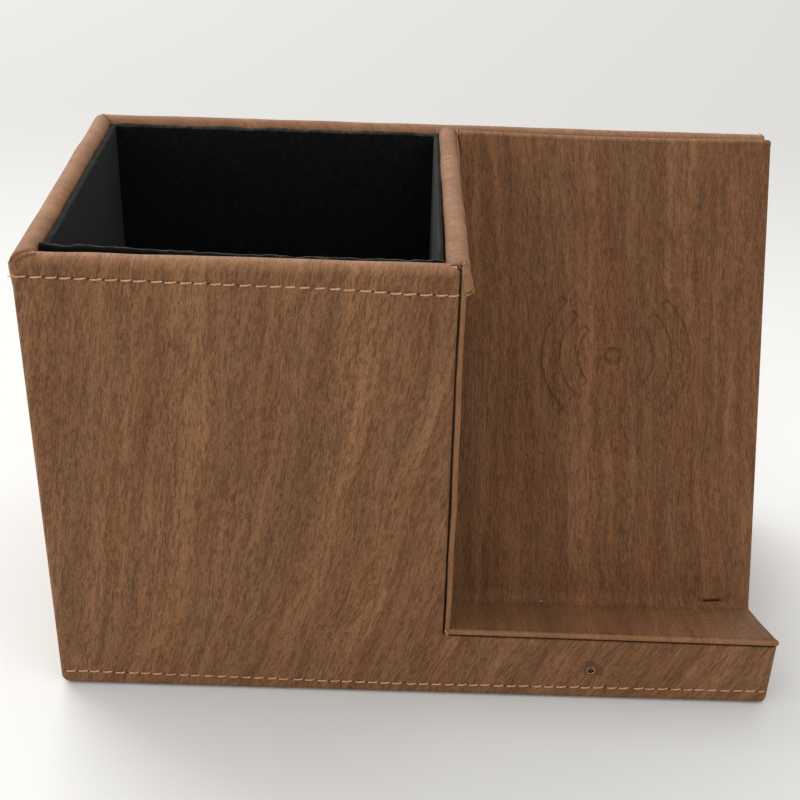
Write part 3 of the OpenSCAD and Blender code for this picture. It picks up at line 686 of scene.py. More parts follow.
def body_wrap():
    pr = wall_profile()
    npf = len(pr)
    seg = np.r_[0, np.cumsum(np.linalg.norm(np.diff(pr, axis=0), axis=1))]
    ys = np.r_[np.array([0, 0.25, 0.6, 1.2, 2.4]), np.linspace(4.5, 81.5, 38), 84.4 - np.array([2.2, 1.6, 1.15, 0.8, 0.55, 0.35, 0.18, 0.0])]     # distances from the front end of the left wall
    xs = np.r_[2.5 + np.array([0.18, 0.35, 0.55, 0.8, 1.1, 1.5, 2.0]), np.linspace(5.5, 172, 80), [174, 176, 177.4, 178.2, 178.8]]
    NA = 17
    rc = 1.7
    y0 = YF + 4.35
    rows, path_s = [], []
    for k, (w, z) in enumerate(pr):
        rr = max(rc - w, 0.10)
        cx, cy = XL + w + rr, YB - w - rr
        row, ps = [], []
        # left wall, front to back; the rim reaches further forward than the wall below it
        fwd = 3.9 * float(smooth(H - 4.5, H - 2.2, z)) * (1 - 0.80 * w / WALL)
        for q in ys:
            yy = y0 - fwd + (cy - (y0 - fwd)) * (q / ys[-1]) * 0.9995
            row.append((XL + w, yy, z))
            ps.append(q)
        for q in range(1, NA):
            a = q / (NA - 1) * np.pi / 2
            row.append((cx - rr * math.cos(a), cy + rr * math.sin(a), z))
            ps.append(ys[-1] + q / (NA - 1) * 2.67)
        xe = XR - 0.75
        for q in xs:
            xx = cx + (xe - cx) * (q - 2.5) / (xs[-1] - 2.5)
            row.append((xx, YB - w, z))
            ps.append(ys[-1] + q)
        rows.append(row)
        path_s.append(ps)
    V = np.array(rows).transpose(1, 0, 2)        # path, profile, 3
    S = np.array(path_s).T
    nu = V.shape[0]
    W = np.broadcast_to(pr[:, 0], (nu, npf))
    Z = np.broadcast_to(pr[:, 1], (nu, npf))
    SS = np.broadcast_to(seg, (nu, npf))
    ic = len(ys) + NA // 2 - 1                    # middle of the corner
    # unevenness of the hand-wrapped rim
    P = V.reshape(-1, 3)
    top = smooth(H - 6, H - 1, P[:, 2])
    P = P.copy()
    P[:, 2] += top * (0.06 * Waves(5, 22)(P * [1, 1, 0.1]) - 0.08)
    wob = Waves(6, 13)(P * [1, 1, 0.1]) * 0.07 * top
    isleft = (S.reshape(-1) < ys[-1])
    P[:, 0] += np.where(isleft, wob, 0)
    P[:, 1] += np.where(isleft, 0, wob)
    V = P.reshape(nu, npf, 3)
    # mitre fold across the rim at the back-left corner: a dark crease with a raised lip on the back's side
    for j in range(npf):
        if Z[0, j] > H - 9 and W[0, j] < WALL + 0.01:
            k = float(smooth(H - 9, H - 3, Z[0, j]))
            for i in range(nu):
                q = S[i, 0] - ys[-1] if i < len(ys) + NA - 1 else S[i, 0] - ys[-1] - 2.5
                if i >= len(ys) and i < len(ys) + NA - 1:
                    q = 0.0
                if abs(q) > 2.6:
                    continue
                d = 0.62 * math.exp(-(q / 0.20) ** 2) - 0.13 * math.exp(-((q - 0.55) / 0.28) ** 2)
                n = np.array([0, 0, 1.0]) if Z[0, j] > H - 1.5 else (np.array([-0.7, 0.7, 0]) if W[0, j] < 1 else np.array([0.7, -0.7, 0]))
                V[i, j] -= n * d * k * (1 if Z[0, j] > H - 1.5 else 0.35)
    # round the two ends of the strip
    for i, dd in ((0, 0.30), (1, 0.08), (nu - 1, 0.45), (nu - 2, 0.18), (nu - 3, 0.05)):
        V[i, :, 2] -= dd * smooth(H - 3, H - 0.5, Z[i])
        if i < 3:
            V[i, :, 0] += dd * 0.5 * (W[i] < 0.3)
        else:
            V[i, :, 1] -= dd * 0.6 * (W[i] < 0.3)
    verts = V.reshape(-1, 3)
    faces = [q for q in grid_faces(nu, npf, close_v=True)]
    faces.append(tuple(range(npf))[::-1])
    faces.append(tuple((nu - 1) * npf + k for k in range(npf)))
    g = np.stack([S.reshape(-1), SS.reshape(-1), np.zeros(nu * npf)], 1)
    th = math.radians(4)
    g2 = g.copy()
    g2[:, 0] = g[:, 0] * math.cos(th) - g[:, 1] * math.sin(th)
    g2[:, 1] = g[:, 0] * math.sin(th) + g[:, 1] * math.cos(th)
    return verts, faces, g2


v, f, g = body_wrap()
# the rim tops are painted lighter: painted highlight where the top-facing rims catch the light
wrap = make("body_wrap_covering", v, f, LEATHER_B, g, extra={"wear_and_painted_highlight": 1.0 * smooth(116.6, 119.2, v[:, 2])}, replaces=("body_wrap_skin",), auto=50)
fix_normals(wrap)


def cut_port(ob):
    """Opens the covering at the power inlet."""
    lo, hi = span("port_bezel")
    x0, x1, z0, z1, r = lo[0] - 0.12, hi[0] + 0.12, lo[2] - 0.12, hi[2] + 0.12, 1.2
    ring = []
    for cx, cz, a0 in ((x1 - r, z1 - r, 0), (x0 + r, z1 - r, 90), (x0 + r, z0 + r, 180), (x1 - r, z0 + r, 270)):
        for q in range(7):
            a = math.radians(a0 + 15 * q)
            ring.append((cx + r * math.cos(a), cz + r * math.sin(a)))
    n = len(ring)
    V = [(x, YB - 6, z) for x, z in ring] + [(x, YB + 3, z) for x, z in ring]
    F = [(k, (k + 1) % n, n + (k + 1) % n, n + k) for k in range(n)] + [tuple(range(n)), tuple(range(n, 2 * n))[::-1]]
    me = bpy.data.meshes.new("cutter")
    me.from_pydata([[c * MM for c in p] for p in V], [], F)
    me.materials.append(RAW)
    cu = bpy.data.objects.new("cutter", me)
    bpy.context.scene.collection.objects.link(cu)
    fix_normals(cu)
    md = ob.modifiers.new("hole", "BOOLEAN")
    md.object = cu
    md.operation = "DIFFERENCE"
    md.solver = "EXACT"
    md.material_mode = "TRANSFER"
    dg = bpy.context.evaluated_depsgraph_get()
    new = bpy.data.meshes.new_from_object(ob.evaluated_get(dg), preserve_all_data_layers=True, depsgraph=dg)
    ob.modifiers.clear()
    old = ob.data
    ob.data = new
    bpy.data.meshes.remove(old)
    bpy.data.objects.remove(cu)


cut_port(wrap)

# ------------------------------------------------------------------ divider: rim strip, its folded front end, and the side covering


def divider_rim():
    x0, x1 = DX0, DSK + 0.05
    wdt = x1 - x0
    r = 2.5
    pts = [(x0, H - 14), (x0, H - 9), (x0, H - 5)]
    for th in np.linspace(0, np.pi / 2, 10):
        pts.append((x0 + r * (1 - math.cos(th)), H - r + r * math.sin(th)))
    for x in np.linspace(x0 + r, x1 - 2.0, 6)[1:-1]:
        pts.append((x, H))
    for th in np.linspace(np.pi / 2, 0, 9):
        pts.append((x1 - 2.0 + 2.0 * math.cos(th), H - 2.0 + 2.0 * math.sin(th)))
    for z in (H - 3, H - 4, H - 5):
        pts.append((x1, z))
    pts.append((x1 - 0.05, H - 5.7))
    pts.append((x1 - 0.35, H - 5.9))             # cut hem
    pts.append((x1 - 0.5, H - 5.4))
    for th in np.linspace(0, np.pi / 2, 6):
        pts.append((x1 - 2.0 + 1.5 * math.cos(th), H - 2.0 + 1.3 * math.sin(th)))
    pts.append((x0 + 2.4, H - 0.75))
    for th in np.linspace(np.pi / 2, 0, 6):
        pts.append((x0 + r - (r - 0.7) * math.cos(th), H - r + (r - 0.75) * math.sin(th)))
    pts.append((x0 + 0.7, H - 14))
    pr = np.array(pts)
    npf = len(pr)
    seg = np.r_[0, np.cumsum(np.linalg.norm(np.diff(pr, axis=0), axis=1))]
    y0, y1 = YF + 2.75, YB - WALL + 1.5
    ys = np.r_[[0, 0.15, 0.4, 0.8, 1.6], np.linspace(3, y1 - y0 - 1.5, 52), [y1 - y0 - 0.6, y1 - y0]]
    nu = len(ys)
    V = np.zeros((nu, npf, 3))
    for i, q in enumerate(ys):
        y = y0 + q
        k = (q / (y1 - y0))
        V[i, :, 0] = pr[:, 0] + (pr[:, 0] - x0) / wdt * 0.25 * (1 - k) + 0.30 - 0.95 * k
        V[i, :, 1] = y
        V[i, :, 2] = pr[:, 1]
    P = V.reshape(-1, 3)
    top = smooth(H - 5, H - 1, P[:, 2])
    P[:, 2] += top * (0.10 * Waves(15, 14)(P * [0.2, 1, 0.1]) - 0.05)
    side = smooth(DSK - 0.8, DSK + 0.3, P[:, 0])
    P[:, 0] += side * 0.16 * Waves(16, 12)(P * [0.1, 1, 0.2])
    # ragged hem
    hem = (1 - smooth(H - 5.8, H - 4.6, P[:, 2])) * side
    P[:, 2] += hem * 0.28 * Waves(17, 3.0)(P * [0, 1, 0])
    # slack cup-side edge
    P[:, 0] += (1 - smooth(DX0, DX0 + 1.5, P[:, 0])) * 0.14 * Waves(18, 17)(P * [0, 1, 0.3])
    V = P.reshape(nu, npf, 3)
    for i, dd in ((0, 0.45), (1, 0.22), (2, 0.06)):
        V[i, :, 2] -= dd * smooth(H - 3, H - 0.5, pr[:, 1])
    g = np.stack([np.repeat(ys, npf), np.tile(seg, nu), np.zeros(nu * npf)], 1)
    faces = grid_faces(nu, npf, close_v=True)
    faces.append(tuple(range(npf))[::-1])
    faces.append(tuple((nu - 1) * npf + k for k in range(npf)))
    return V.reshape(-1, 3), faces, g


v, f, g = divider_rim()
drim = make("divider_rim_strip", v, f, LEATHER_RIM_LIT, g, replaces=("divider_rim_wrap",), auto=60)
fix_normals(drim)


def loft_block(levels, n=36):
    """Closed block lofted through rounded rectangles: (z, x0, x1, y0, y1, r)."""
    rows = []
    for z, x0, x1, y0, y1, r in levels:
        r = min(r, (x1 - x0) / 2 - 1e-3, (y1 - y0) / 2 - 1e-3)
        ring = []
        for cx, cy, a0 in ((x1 - r, y1 - r, 0), (x0 + r, y1 - r, 90), (x0 + r, y0 + r, 180), (x1 - r, y0 + r, 270)):
            for q in range(n // 4):
                a = math.radians(a0 + 90 * q / (n // 4 - 1))
                ring.append((cx + r * math.cos(a), cy + r * math.sin(a), z))
        rows.append(ring)
    V = np.array(rows)
    nu, nv = V.shape[:2]
    F = grid_faces(nu, nv, close_v=True)
    F.append(tuple(range(nv))[::-1])
    F.append(tuple((nu - 1) * nv + k for k in range(nv)))
    return V.reshape(-1, 3), F


def divider_flap():
    """The strip's front end, folded down over the end of the divider, standing off towards its cut hem."""
    y0, y1 = YF + 0.05, YF + 6.0
    x0 = SEAM + 0.25
    lv = []
    n = 16
    for q in range(n + 1):
        k = q / n                               # 0 at the hem, 1 at the top
        z = H - 6.2 + 6.05 * k
        x1 = DSK + 1.45 - 1.25 * k ** 0.8 - 0.9 * float(smooth(0.72, 1.0, k))
        yy = y0 + 1.9 * float(smooth(0.70, 1.0, k)) + (0.30 * (1 - k / 0.06) if k < 0.06 else 0)
        ins = 0.22 * (1 - k / 0.06) if k < 0.06 else 0
        lv.append((z, x0 + 0.1 + ins * 0.4, x1 - ins, yy, y1, 0.62))
    V, F = loft_block(lv)
    P = V.copy()
    # the hem slants up to the right and is ragged
    hem = 1 - smooth(H - 6.0, H - 4.6, P[:, 2])
    P[:, 2] += hem * (0.16 * Waves(33, 1.3)(P * [1, 1, 0]) + 0.48 * (P[:, 0] - x0 - 1.2))
    P[:, 0] += 0.06 * Waves(34, 2.5)(P)
    P[:, 0] = np.maximum(P[:, 0], SEAM + 0.16)
    g = np.stack([P[:, 1] * 1.0 + P[:, 0] * 0.3, P[:, 2] + 30 + P[:, 1] * 0.2, np.zeros(len(P))], 1)
    return P, F, g


v, f, g = divider_flap()
flap = make("divider_rim_fold", v, f, LEATHER_RIM_LIT, g, auto=70)
fix_normals(flap)


def divider_side():
    x0, x1 = SEAM + 0.25, DSK
    y0, y1 = YF + 0.03, YB - WALL - 0.1
    r = 0.62
    xs, rows = [], []
    ring = []
    # rounded front edge, then the long face towards the rest
    for th in np.linspace(np.pi, np.pi * 1.5, 7):
        ring.append((x0 + r + r * math.cos(th), y0 + r + r * math.sin(th)))
    for th in np.linspace(np.pi * 1.5, np.pi * 2, 7):
        ring.append((x1 - r + r * math.cos(th), y0 + r + r * math.sin(th)))
    for y in np.linspace(y0 + 2, y1, 36):
        ring.append((x1, y))
    ring.append((x1 - SK, y1))
    ring.append((x1 - SK, y0 + 1.6))
    ring.append((x0, y0 + 1.6))
    R = np.array(ring)
    zs_ = np.linspace(8.5, H - 1.7, 60)
    V = np.array([[(x, y, z) for x, y in R] for z in zs_])
    P = V.reshape(-1, 3)
    P[:, 0] += smooth(x1 - 0.4, x1, P[:, 0]) * 0.12 * Waves(21, 30)(P) - 0.06 * smooth(x1 - 0.4, x1, P[:, 0])
    P[:, 0] += 0.65 * (1 - smooth(19, 112, P[:, 2])) * smooth(y0 + 12, y0, P[:, 1])
    edge = smooth(y0 + 2.5, y0, P[:, 1])
    P[:, 0] += edge * 0.16 * Waves(22, 26)(P * [0, 0, 1])
    P[:, 0] = np.maximum(P[:, 0], SEAM + 0.14)
    seg = np.r_[0, np.cumsum(np.linalg.norm(np.diff(R, axis=0), axis=1))]
    nu, nv = len(zs_), len(R)
    g = np.stack([np.tile(seg, nu), np.repeat(zs_, nv), np.zeros(nu * nv)], 1)
    F = grid_faces(nu, nv, close_v=True)
    F.append(tuple(range(nv))[::-1])
    F.append(tuple((nu - 1) * nv + k for k in range(nv)))
    return P, F, g


v, f, g = divider_side()
# the rounded front edge is painted lighter: painted highlight where the rounding catches the light
dside = make("divider_side_covering", v, f, LEATHER_F, g, extra={"wear_and_painted_highlight": 0.75 * smooth(YF + 1.4, YF + 0.3, v[:, 1])}, replaces=("divider_side_skin",), auto=60)
fix_normals(dside)

# ------------------------------------------------------------------ rest and ledge: one sheet with the pressed mark


def groove_depth(x, s):
    dx, ds = x - MARK[0], s - MARK[1]
    r = np.hypot(dx, ds)
    ang = np.degrees(np.arctan2(np.abs(ds), np.abs(dx)))
    d = np.zeros_like(r)
    for r0, r1, span_ in ((9.0, 11.2, 47.0), (13.9, 16.1, 48.0), (18.7, 20.9, 49.0)):
        ends = 1 - smooth(span_ - 3, span_ + 3 * 9.0 / r0, ang)
        d = np.maximum(d, smooth(r0 - 0.18, r0 + 0.22, r) * (1 - smooth(r1 - 0.40, r1 + 0.35, r)) * ends)
    ring = 0.8 * smooth(1.3, 1.75, r) * (1 - smooth(2.1, 2.6, r))
    return np.maximum(d, ring)


def rest_sheet():
    x0, x1 = DSK + 0.12, XR
    # across: fine over the mark, rounded at both ends
    xs = np.r_[np.linspace(x0 + 0.9, 27.5, 12), np.arange(28.0, 72.5, 0.25), np.arange(72.8, 85.2, 0.4), np.linspace(85.8, x1 - 0.9, 5)]
    ends0 = [(x0 + 0.9 * (1 - math.sin(a)), 0.9 * (1 - math.cos(a))) for a in np.linspace(np.pi / 2, 0, 6)]
    ends1 = [(x1 - 0.9 * (1 - math.sin(a)), 0.9 * (1 - math.cos(a))) for a in np.linspace(0, np.pi / 2, 6)]
    XX = [(x, d) for x, d in ends0[:-1]] + [(x, 0.0) for x in xs] + [(x, d) for x, d in ends1[1:]]
    # along: -L1 nose ... 0 fold ... L2 crest
    ss = np.r_[np.linspace(-L1 + 2.6, -6.4, 22), np.arange(-6.0, 6.1, 0.3), np.linspace(6.8, 44.5, 30), np.arange(45.2, 88.5, 0.25), np.linspace(89.2, L2 - 1.5, 26)]
    rows, grain, press_and_shade, wear_and_painted_highlight, painted_shade = [], [], [], [], []
    tl, tr = 1.60, 2.5
    for x, inset in XX:
        u = (x - x0) / (x1 - x0)
        k = 4.0 - 3.0 * float(smooth(0.86, 1.0, u)) - 1.4 * float(smooth(0.06, 0.0, u))
        bow = -0.55 * math.sin(math.pi * min(max((x - 12) / 74, 0), 1)) + 0.35
        fall = 1.00 - 0.70 * (x - SEAM) / 83                    # the nose stands higher at the divider and falls to the right
        row, gr, pr_, wear_hl_row, shd_row = [], [], [], [], []

        def put(p, s, dn=0.0, wn=0.0, shd=0.0):
            row.append((x, p[0], p[1]))
            gr.append((x, s))
            pr_.append(dn)
            wear_hl_row.append(wn)
            shd_row.append(shd)
        # underside of the nose to its front: a flattened half round that runs into the ledge
        n0 = FOLD + (L1 - 2.6) * LD
        cc = n0 + np.array([0, fall])
        for a in np.linspace(-np.pi / 2, np.pi / 2, 15)[:-1]:
            reach = 2.72 * max(math.cos(a), 0.0) ** 0.40
            p = cc + reach * (1 - inset * 0.25) * LD + (-tl * 0.5 + (tl / 2 - inset * 0.5) * math.sin(a)) * LN
            # the nose's front is painted lighter, partly stretch wear at the fold and partly painted highlight; its
            # underside is painted near-black, painted shade under the nose
            put(p, -L1 + 2.6 - 2.2 * (np.pi / 2 - a), 0.0, float(smooth(1.38, 0.75, a)), float(smooth(-0.75, -1.20, a)))
        n_nose = 11
        dep = groove_depth(np.full(len(ss), x), ss)
        for s, dn in zip(ss, dep):
            if s < -k:
                p = FOLD - s * LD
                n = LN
            elif s > k:
                p = FOLD + s * RD
                n = RN
            else:
                t_ = (s + k) / (2 * k)
                p = (1 - t_) ** 2 * (FOLD + k * LD) + 2 * t_ * (1 - t_) * FOLD + t_ ** 2 * (FOLD + k * RD)
                n = LN * (1 - t_) + RN * t_
                n = n / np.linalg.norm(n)
            # a short crease near the right end of the fold: pressed in, and painted dark as painted shade in it
            cr_ = math.exp(-((s - 1.0 - 0.10 * (x - 76.0)) / 0.42) ** 2) * float(smooth(75.4, 78.6, x) * smooth(83.8, 81.2, x))
            off = -inset - 0.34 * dn - 0.55 * cr_
            fw = float(smooth(-8, -L1, s)) * fall
            # the ledge dishes a little, the rest is almost flat
            off += -0.18 * math.sin(math.pi * min(max(-s / L1, 0), 1)) * (1 - inset / 0.9)
            p = p + n * off + np.array([0, fw])
            if s > 100:
                p = p + RD * bow * float(smooth(100, L2, s))
            # the ledge is painted lighter: painted light standing in for more light falling on it
            put(p, s, dn, 0.45 * float(smooth(-2, -9, s)), cr_)
        ct = FOLD + (L2 - tr / 2 + 0.42 + bow) * RD - tr / 2 * RN
        rt = tr / 2 - inset * 0.5
        for a in np.linspace(np.pi / 2, -np.pi / 2, 13):
            p = ct + rt * (math.cos(a) * RD + math.sin(a) * RN)
            # the crest's upper side is painted lighter: painted highlight on the rounded top edge
            put(p, L2 + 0.9 * (np.pi / 2 - a), 0.0, 0.55 * float(smooth(-0.2, 0.5, a)) * float(smooth(1.57, 1.2, a)))
        # hidden side, back to the nose
        for s in (L2 - 8, 90, 60, 30, 12):
            put(FOLD + s * RD - (tr - 0.0) * RN, L2 + 4)
        uf = FOLD - 1.15 * (RN + LN)
        put(uf - 0.6 * RN, L2 + 4)
        for s in (12, 20):
            put(FOLD + s * LD - (1.32 if s < 15 else 1.55) * LN + np.array([0, float(smooth(8, L1, s)) * fall]), L2 + 4)
        rows.append(row)
        grain.append(gr)
        press_and_shade.append(pr_)
        wear_and_painted_highlight.append(wear_hl_row)
        painted_shade.append(shd_row)
    V = np.array(rows)
    G = np.array(grain)
    PRS = np.array(press_and_shade)
    nu, nv = V.shape[:2]
    P = V.reshape(-1, 3)
    # slight waviness of the covering over the card
    wv = Waves(41, 55)
    P[:, 1] += 0.10 * wv(P) * (P[:, 2] > 16)
    a = G[..., 0].reshape(-1)
    b = G[..., 1].reshape(-1)
    # the print runs up the rest and swings to the right over the ledge
    led = smooth(6, -34, b)
    th = math.radians(-3)
    aa = (a - 50) * math.cos(th) - b * math.sin(th) + led * 2.5
    bb = (a - 50) * math.sin(th) + b * math.cos(th)
    g = np.stack([aa, bb, np.zeros_like(aa)], 1)
    F = grid_faces(nu, nv, close_v=True)
    F.append(tuple(range(nv))[::-1])
    F.append(tuple((nu - 1) * nv + k for k in range(nv)))
    # darker only on the shoulders of the grooves: partly the pressed finish, partly painted shade on the groove walls
    d = PRS.reshape(-1)
    sh = 4 * d * (1 - d)
    return P, F, g, np.clip(0.95 * sh ** 2 + 0.05 * d, 0, 1), np.array(wear_and_painted_highlight).reshape(-1), np.array(painted_shade).reshape(-1)


v, f, g, press_shade_vals, wear_hl, crease_shade = rest_sheet()
rest = make("rest_covering", v, f, LEATHER_R, g, extra={"press_and_shade": press_shade_vals, "wear_and_painted_highlight": wear_hl, "painted_shade": crease_shade}, replaces=("rest_cover_skin",), auto=60)
fix_normals(rest)

# ------------------------------------------------------------------ right end: wedge covering


def wedge_cover():
    x1 = XR - 0.28
    x0 = x1 - 0.95
    yb = YB - SK - 0.05
    y0 = YF + 4.35
    # outline in y, z, under the covers
    def under_rest(s):
        return FOLD + s * RD - 2.6 * RN
    top = under_rest(L2 - 0.5)
    pts = [(y0, BOT), (yb, BOT), (yb, H - 1.9), (top[0] + 1.0, H - 1.9)]
    for s in np.linspace(L2 - 1.2, 3.0, 30):
        p = under_rest(s)
        pts.append((p[0], p[1]))
    uf = FOLD - 1.5 * (RN + LN)
    pts.append((uf[0], uf[1]))
    for s in np.linspace(3, L1 - 5.2, 8):
        p = FOLD + s * LD - 1.5 * LN
        pts.append((p[0], p[1]))
    p = np.array(pts)
    # inward mitre offset
    def inset(p, w):
        n = len(p)
        q = np.zeros_like(p)
        for i in range(n):
            a, b, c = p[i - 1], p[i], p[(i + 1) % n]
            t1 = (b - a) / (np.linalg.norm(b - a) + 1e-9)
            t2 = (c - b) / (np.linalg.norm(c - b) + 1e-9)
            n1 = np.array([-t1[1], t1[0]])
            n2 = np.array([-t2[1], t2[0]])
            m = n1 + n2
            m = m / max(np.dot(m, n1), 0.35)
            q[i] = b + m * w
        return q
    rows = []
    for th in np.linspace(0, np.pi / 2, 6):
        rows.append([(x1 - 0.8 * (1 - math.sin(th)), y, z) for y, z in inset(p, 0.8 * (1 - math.cos(th)))])
    rows = rows[::1]
    rows.append([(x1, y, z) for y, z in inset(p, 1.6)])
    back = [[(x0, y, z) for y, z in p]]
    V = np.array(back + rows)
    nu, nv = V.shape[:2]
    F = grid_faces(nu, nv, close_v=True)
    F.append(tuple(range(nv))[::-1])
    F.append(tuple((nu - 1) * nv + k for k in range(nv)))
    P = V.reshape(-1, 3)
    g = np.stack([P[:, 1] + P[:, 0] * 0.2, P[:, 2], np.zeros(len(P))], 1)
    return P, F, g


v, f, g = wedge_cover()
wedge = make("side_wedge_covering", v, f, LEATHER_B, g, replaces=("side_wedge_skin",), auto=45)
fix_normals(wedge)
import bmesh
bm = bmesh.new()
bm.from_mesh(wedge.data)
bmesh.ops.triangulate(bm, faces=[q for q in bm.faces if len(q.verts) > 20])
bm.to_mesh(wedge.data)
bm.free()

# ------------------------------------------------------------------ cup lining


def lining_panel(name, along, p0, p1, other, thick, z0, z1, lean=None, seed=0, edge_sheen=1.0, rise=None):
    """Felt-covered card standing in the cup. along: 'x' or 'y'; p0..p1 along it; other: position of its cup-side face; thick: signed depth behind."""
    us = np.r_[p0, np.linspace(p0 + 0.6, p1 - 0.6, 60), p1]
    prof = []
    for z in np.linspace(z0, z1 - 0.7, 26):
        prof.append((0.0, z))
    for th in np.linspace(0.15, np.pi - 0.15, 9):
        prof.append((0.5 - 0.5 * math.cos(th), z1 - 0.7 + 0.7 * math.sin(th)))
    for z in np.linspace(z1 - 0.7, z0, 6):
        prof.append((1.0, z))
    pr = np.array(prof)
    V = np.zeros((len(us), len(pr), 3))
    e = np.zeros((len(us), len(pr)))
    w1, w2 = Waves(60 + seed, 9), Waves(70 + seed, 2.2)
    for i, u in enumerate(us):
        for j, (d, z) in enumerate(pr):
            ln = lean(u) * float(smooth(60, z1, z)) if lean else 0.0
            o = other + thick * d + ln
            z = z + (rise(u) * float(smooth(60, z1, z)) if rise else 0.0)
            V[i, j] = (u, o, z) if along == "x" else (o, u, z)
            # edge weight: painted sheen on the cut top edge
            e[i, j] = edge_sheen * float(smooth(z1 - 0.75, z1 - 0.35, pr[j][1])) * float(smooth(0.62, 0.38, d))
    P = V.reshape(-1, 3)
    E = e.reshape(-1)
    top = smooth(z1 - 1.2, z1, np.tile(pr[:, 1], len(us)))
    P[:, 2] += top * (0.16 * w1(P) + 0.12 * w2(P)) - 0.12 * top
    k = 0 if along == "y" else 1
    P[:, k] += 0.05 * w2(P) * top
    F = grid_faces(len(us), len(pr), close_v=True)
    F.append(tuple(range(len(pr)))[::-1])
    F.append(tuple((len(us) - 1) * len(pr) + q for q in range(len(pr))))
    ob = make(name, P, F, FELT, extra={"edge": E}, auto=60)
    fix_normals(ob)
    return ob


zt = LIN["left"][1][2]
zb = LIN["left"][0][2]
T = 1.5
lb = lining_panel("lining_back_felt", "x", CX0 + 0.02, CX1 - 0.02, CY1 - T, T - 0.05, zb, zt, seed=1, edge_sheen=0.40)
lf = lining_panel("lining_front_felt", "x", CX0 + 0.02, CX1 - 0.02, CY0 + T, -(T - 0.05), zb, zt, rise=lambda u: 0.55 * float(1 - smooth(-82, -48, u)), lean=lambda u: 1.15 * float(1 - smooth(CX0 + 6, CX0 + 66, u)) + 0.12, seed=2)
ll = lining_panel("lining_left_felt", "y", CY0 + T + 0.05, CY1 - T - 0.03, CX0 + T, -(T - 0.05), zb, zt - 0.2, lean=lambda u: 0.15, seed=3, edge_sheen=0.18)
lr = lining_panel("lining_right_felt", "y", CY0 + T + 0.05, CY1 - T - 0.03, CX1 - T, T - 0.05, zb, zt - 0.1, lean=lambda u: -0.25, seed=4, edge_sheen=0.22)
for ob, nd in ((lb, "lining_back"), (lf, "lining_front"), (ll, "lining_left"), (lr, "lining_right")):
    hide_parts(nd)


def lining_floor():
    nx, ny = 50, 46
    xs = np.linspace(CX0 + 0.05, CX1 - 0.05, nx)
    ys = np.linspace(CY0 + 0.05, CY1 - 0.05, ny)
    w = Waves(90, 22)
    V, F = [], []
    for layer in (0, 1):
        for x in xs:
            for y in ys:
                z = CZ1 + 0.03 + 0.07 * float(w(np.array([[x, y, 0.0]]))[0]) if layer else CZ0 + 0.02
                V.append((x, y, z))
    F += [q[::-1] for q in grid_faces(nx, ny)]
    F += grid_faces(nx, ny, base=nx * ny)
    n = nx * ny
    for i in range(nx - 1):
        F.append((i * ny, (i + 1) * ny, n + (i + 1) * ny, n + i * ny))
        F.append((i * ny + ny - 1, n + i * ny + ny - 1, n + (i + 1) * ny + ny - 1, (i + 1) * ny + ny - 1))
    for j in range(ny - 1):
        F.append((j, n + j, n + j + 1, j + 1))
        F.append(((nx - 1) * ny + j, (nx - 1) * ny + j + 1, n + (nx - 1) * ny + j + 1, n + (nx - 1) * ny + j))
    ob = make("lining_floor_felt", V, F, FELT, extra={"edge": np.zeros(len(V))}, replaces=("lining_floor",), auto=40)
    fix_normals(ob)
    return ob


lining_floor()

# ------------------------------------------------------------------ stitching


def stitch_line(name, xs0, xs1, zfun, node, wrap_left=False, dia=0.45, hole_h=0.52):
    pitch = 3.2
    n = int((xs1 - xs0) / pitch)
    VV, FF, HV, HF = [], [], [], []
    r = np.random.default_rng(len(name))
    for i in range(n + 1):
        a = xs0 + i * pitch + r.normal() * 0.16
        b = min(a + pitch * 0.80, xs1)
        if b - a < 1.0:
            continue
        t_ = np.linspace(0, 1, 9)
        x = a + (b - a) * t_
        z = zfun(x) + (t_ - 0.5) * 0.26 + r.normal() * 0.04
        prot = 0.20 * np.sin(np.pi * np.clip(t_, 0.0, 1.0)) ** 0.5 - 0.06
        y = YF - prot + 0.10 * (1 - np.sin(np.pi * t_))
        rad = (dia / 2) * (0.75 + 0.25 * np.sin(np.pi * t_) ** 0.4) * (1 + 0.05 * r.normal())
        V, F = tube(np.stack([x, y, z], 1), rad, 8, flat=0.72)
        FF += [tuple(q + len(VV) * 1 for q in ff) for ff in F] if False else [tuple(q + sum(len(k) for k in VV) for q in ff) for ff in F]
        VV.append(V)
        # needle hole before the stitch: a dark disc on the leather, painted shade in the hole
        hx = a - pitch * 0.10
        if hx > XL + 0.6:
            hz = float(zfun(np.array([hx]))[0])
            m = 12
            ang = np.linspace(0, 2 * np.pi, m, endpoint=False)
            hr = 0.28 + 0.06 * r.random()
            ring = np.stack([hx + hr * np.cos(ang) + 0.10 * np.sin(ang), np.full(m, YF - 0.012), hz + hole_h / 2 * np.sin(ang)], 1)
            inner = np.stack([hx + 0.16 * np.cos(ang) + 0.06 * np.sin(ang), np.full(m, YF - 0.03), hz + hole_h * 0.3 * np.sin(ang)], 1)
            back = ring.copy()
            back[:, 1] = YF + 0.12
            base = sum(len(k) for k in HV)
            HV.append(np.concatenate([back, ring, inner]))
            HF += [tuple(base + q for q in ff) for ff in grid_faces(3, m, close_v=True)]
            HF.append(tuple(base + 2 * m + q for q in range(m)))
            HF.append(tuple(base + q for q in range(m))[::-1])
    ob = make(name, np.concatenate(VV), FF, THREAD, replaces=(node,), auto=80)
    fix_normals(ob)
    hb = make(name + "_hole_shade", np.concatenate(HV), HF, HOLE_SHADE, auto=30)
    fix_normals(hb)
    return ob


def ztop(x):
    return np.interp(x, [-91, -54, -21, -6, 7], [114.8, 114.45, 114.15, 113.4, 113.25])


def zlow(x):
    return np.interp(x, [-91, -4, 91], [4.65, 3.5, 4.5])


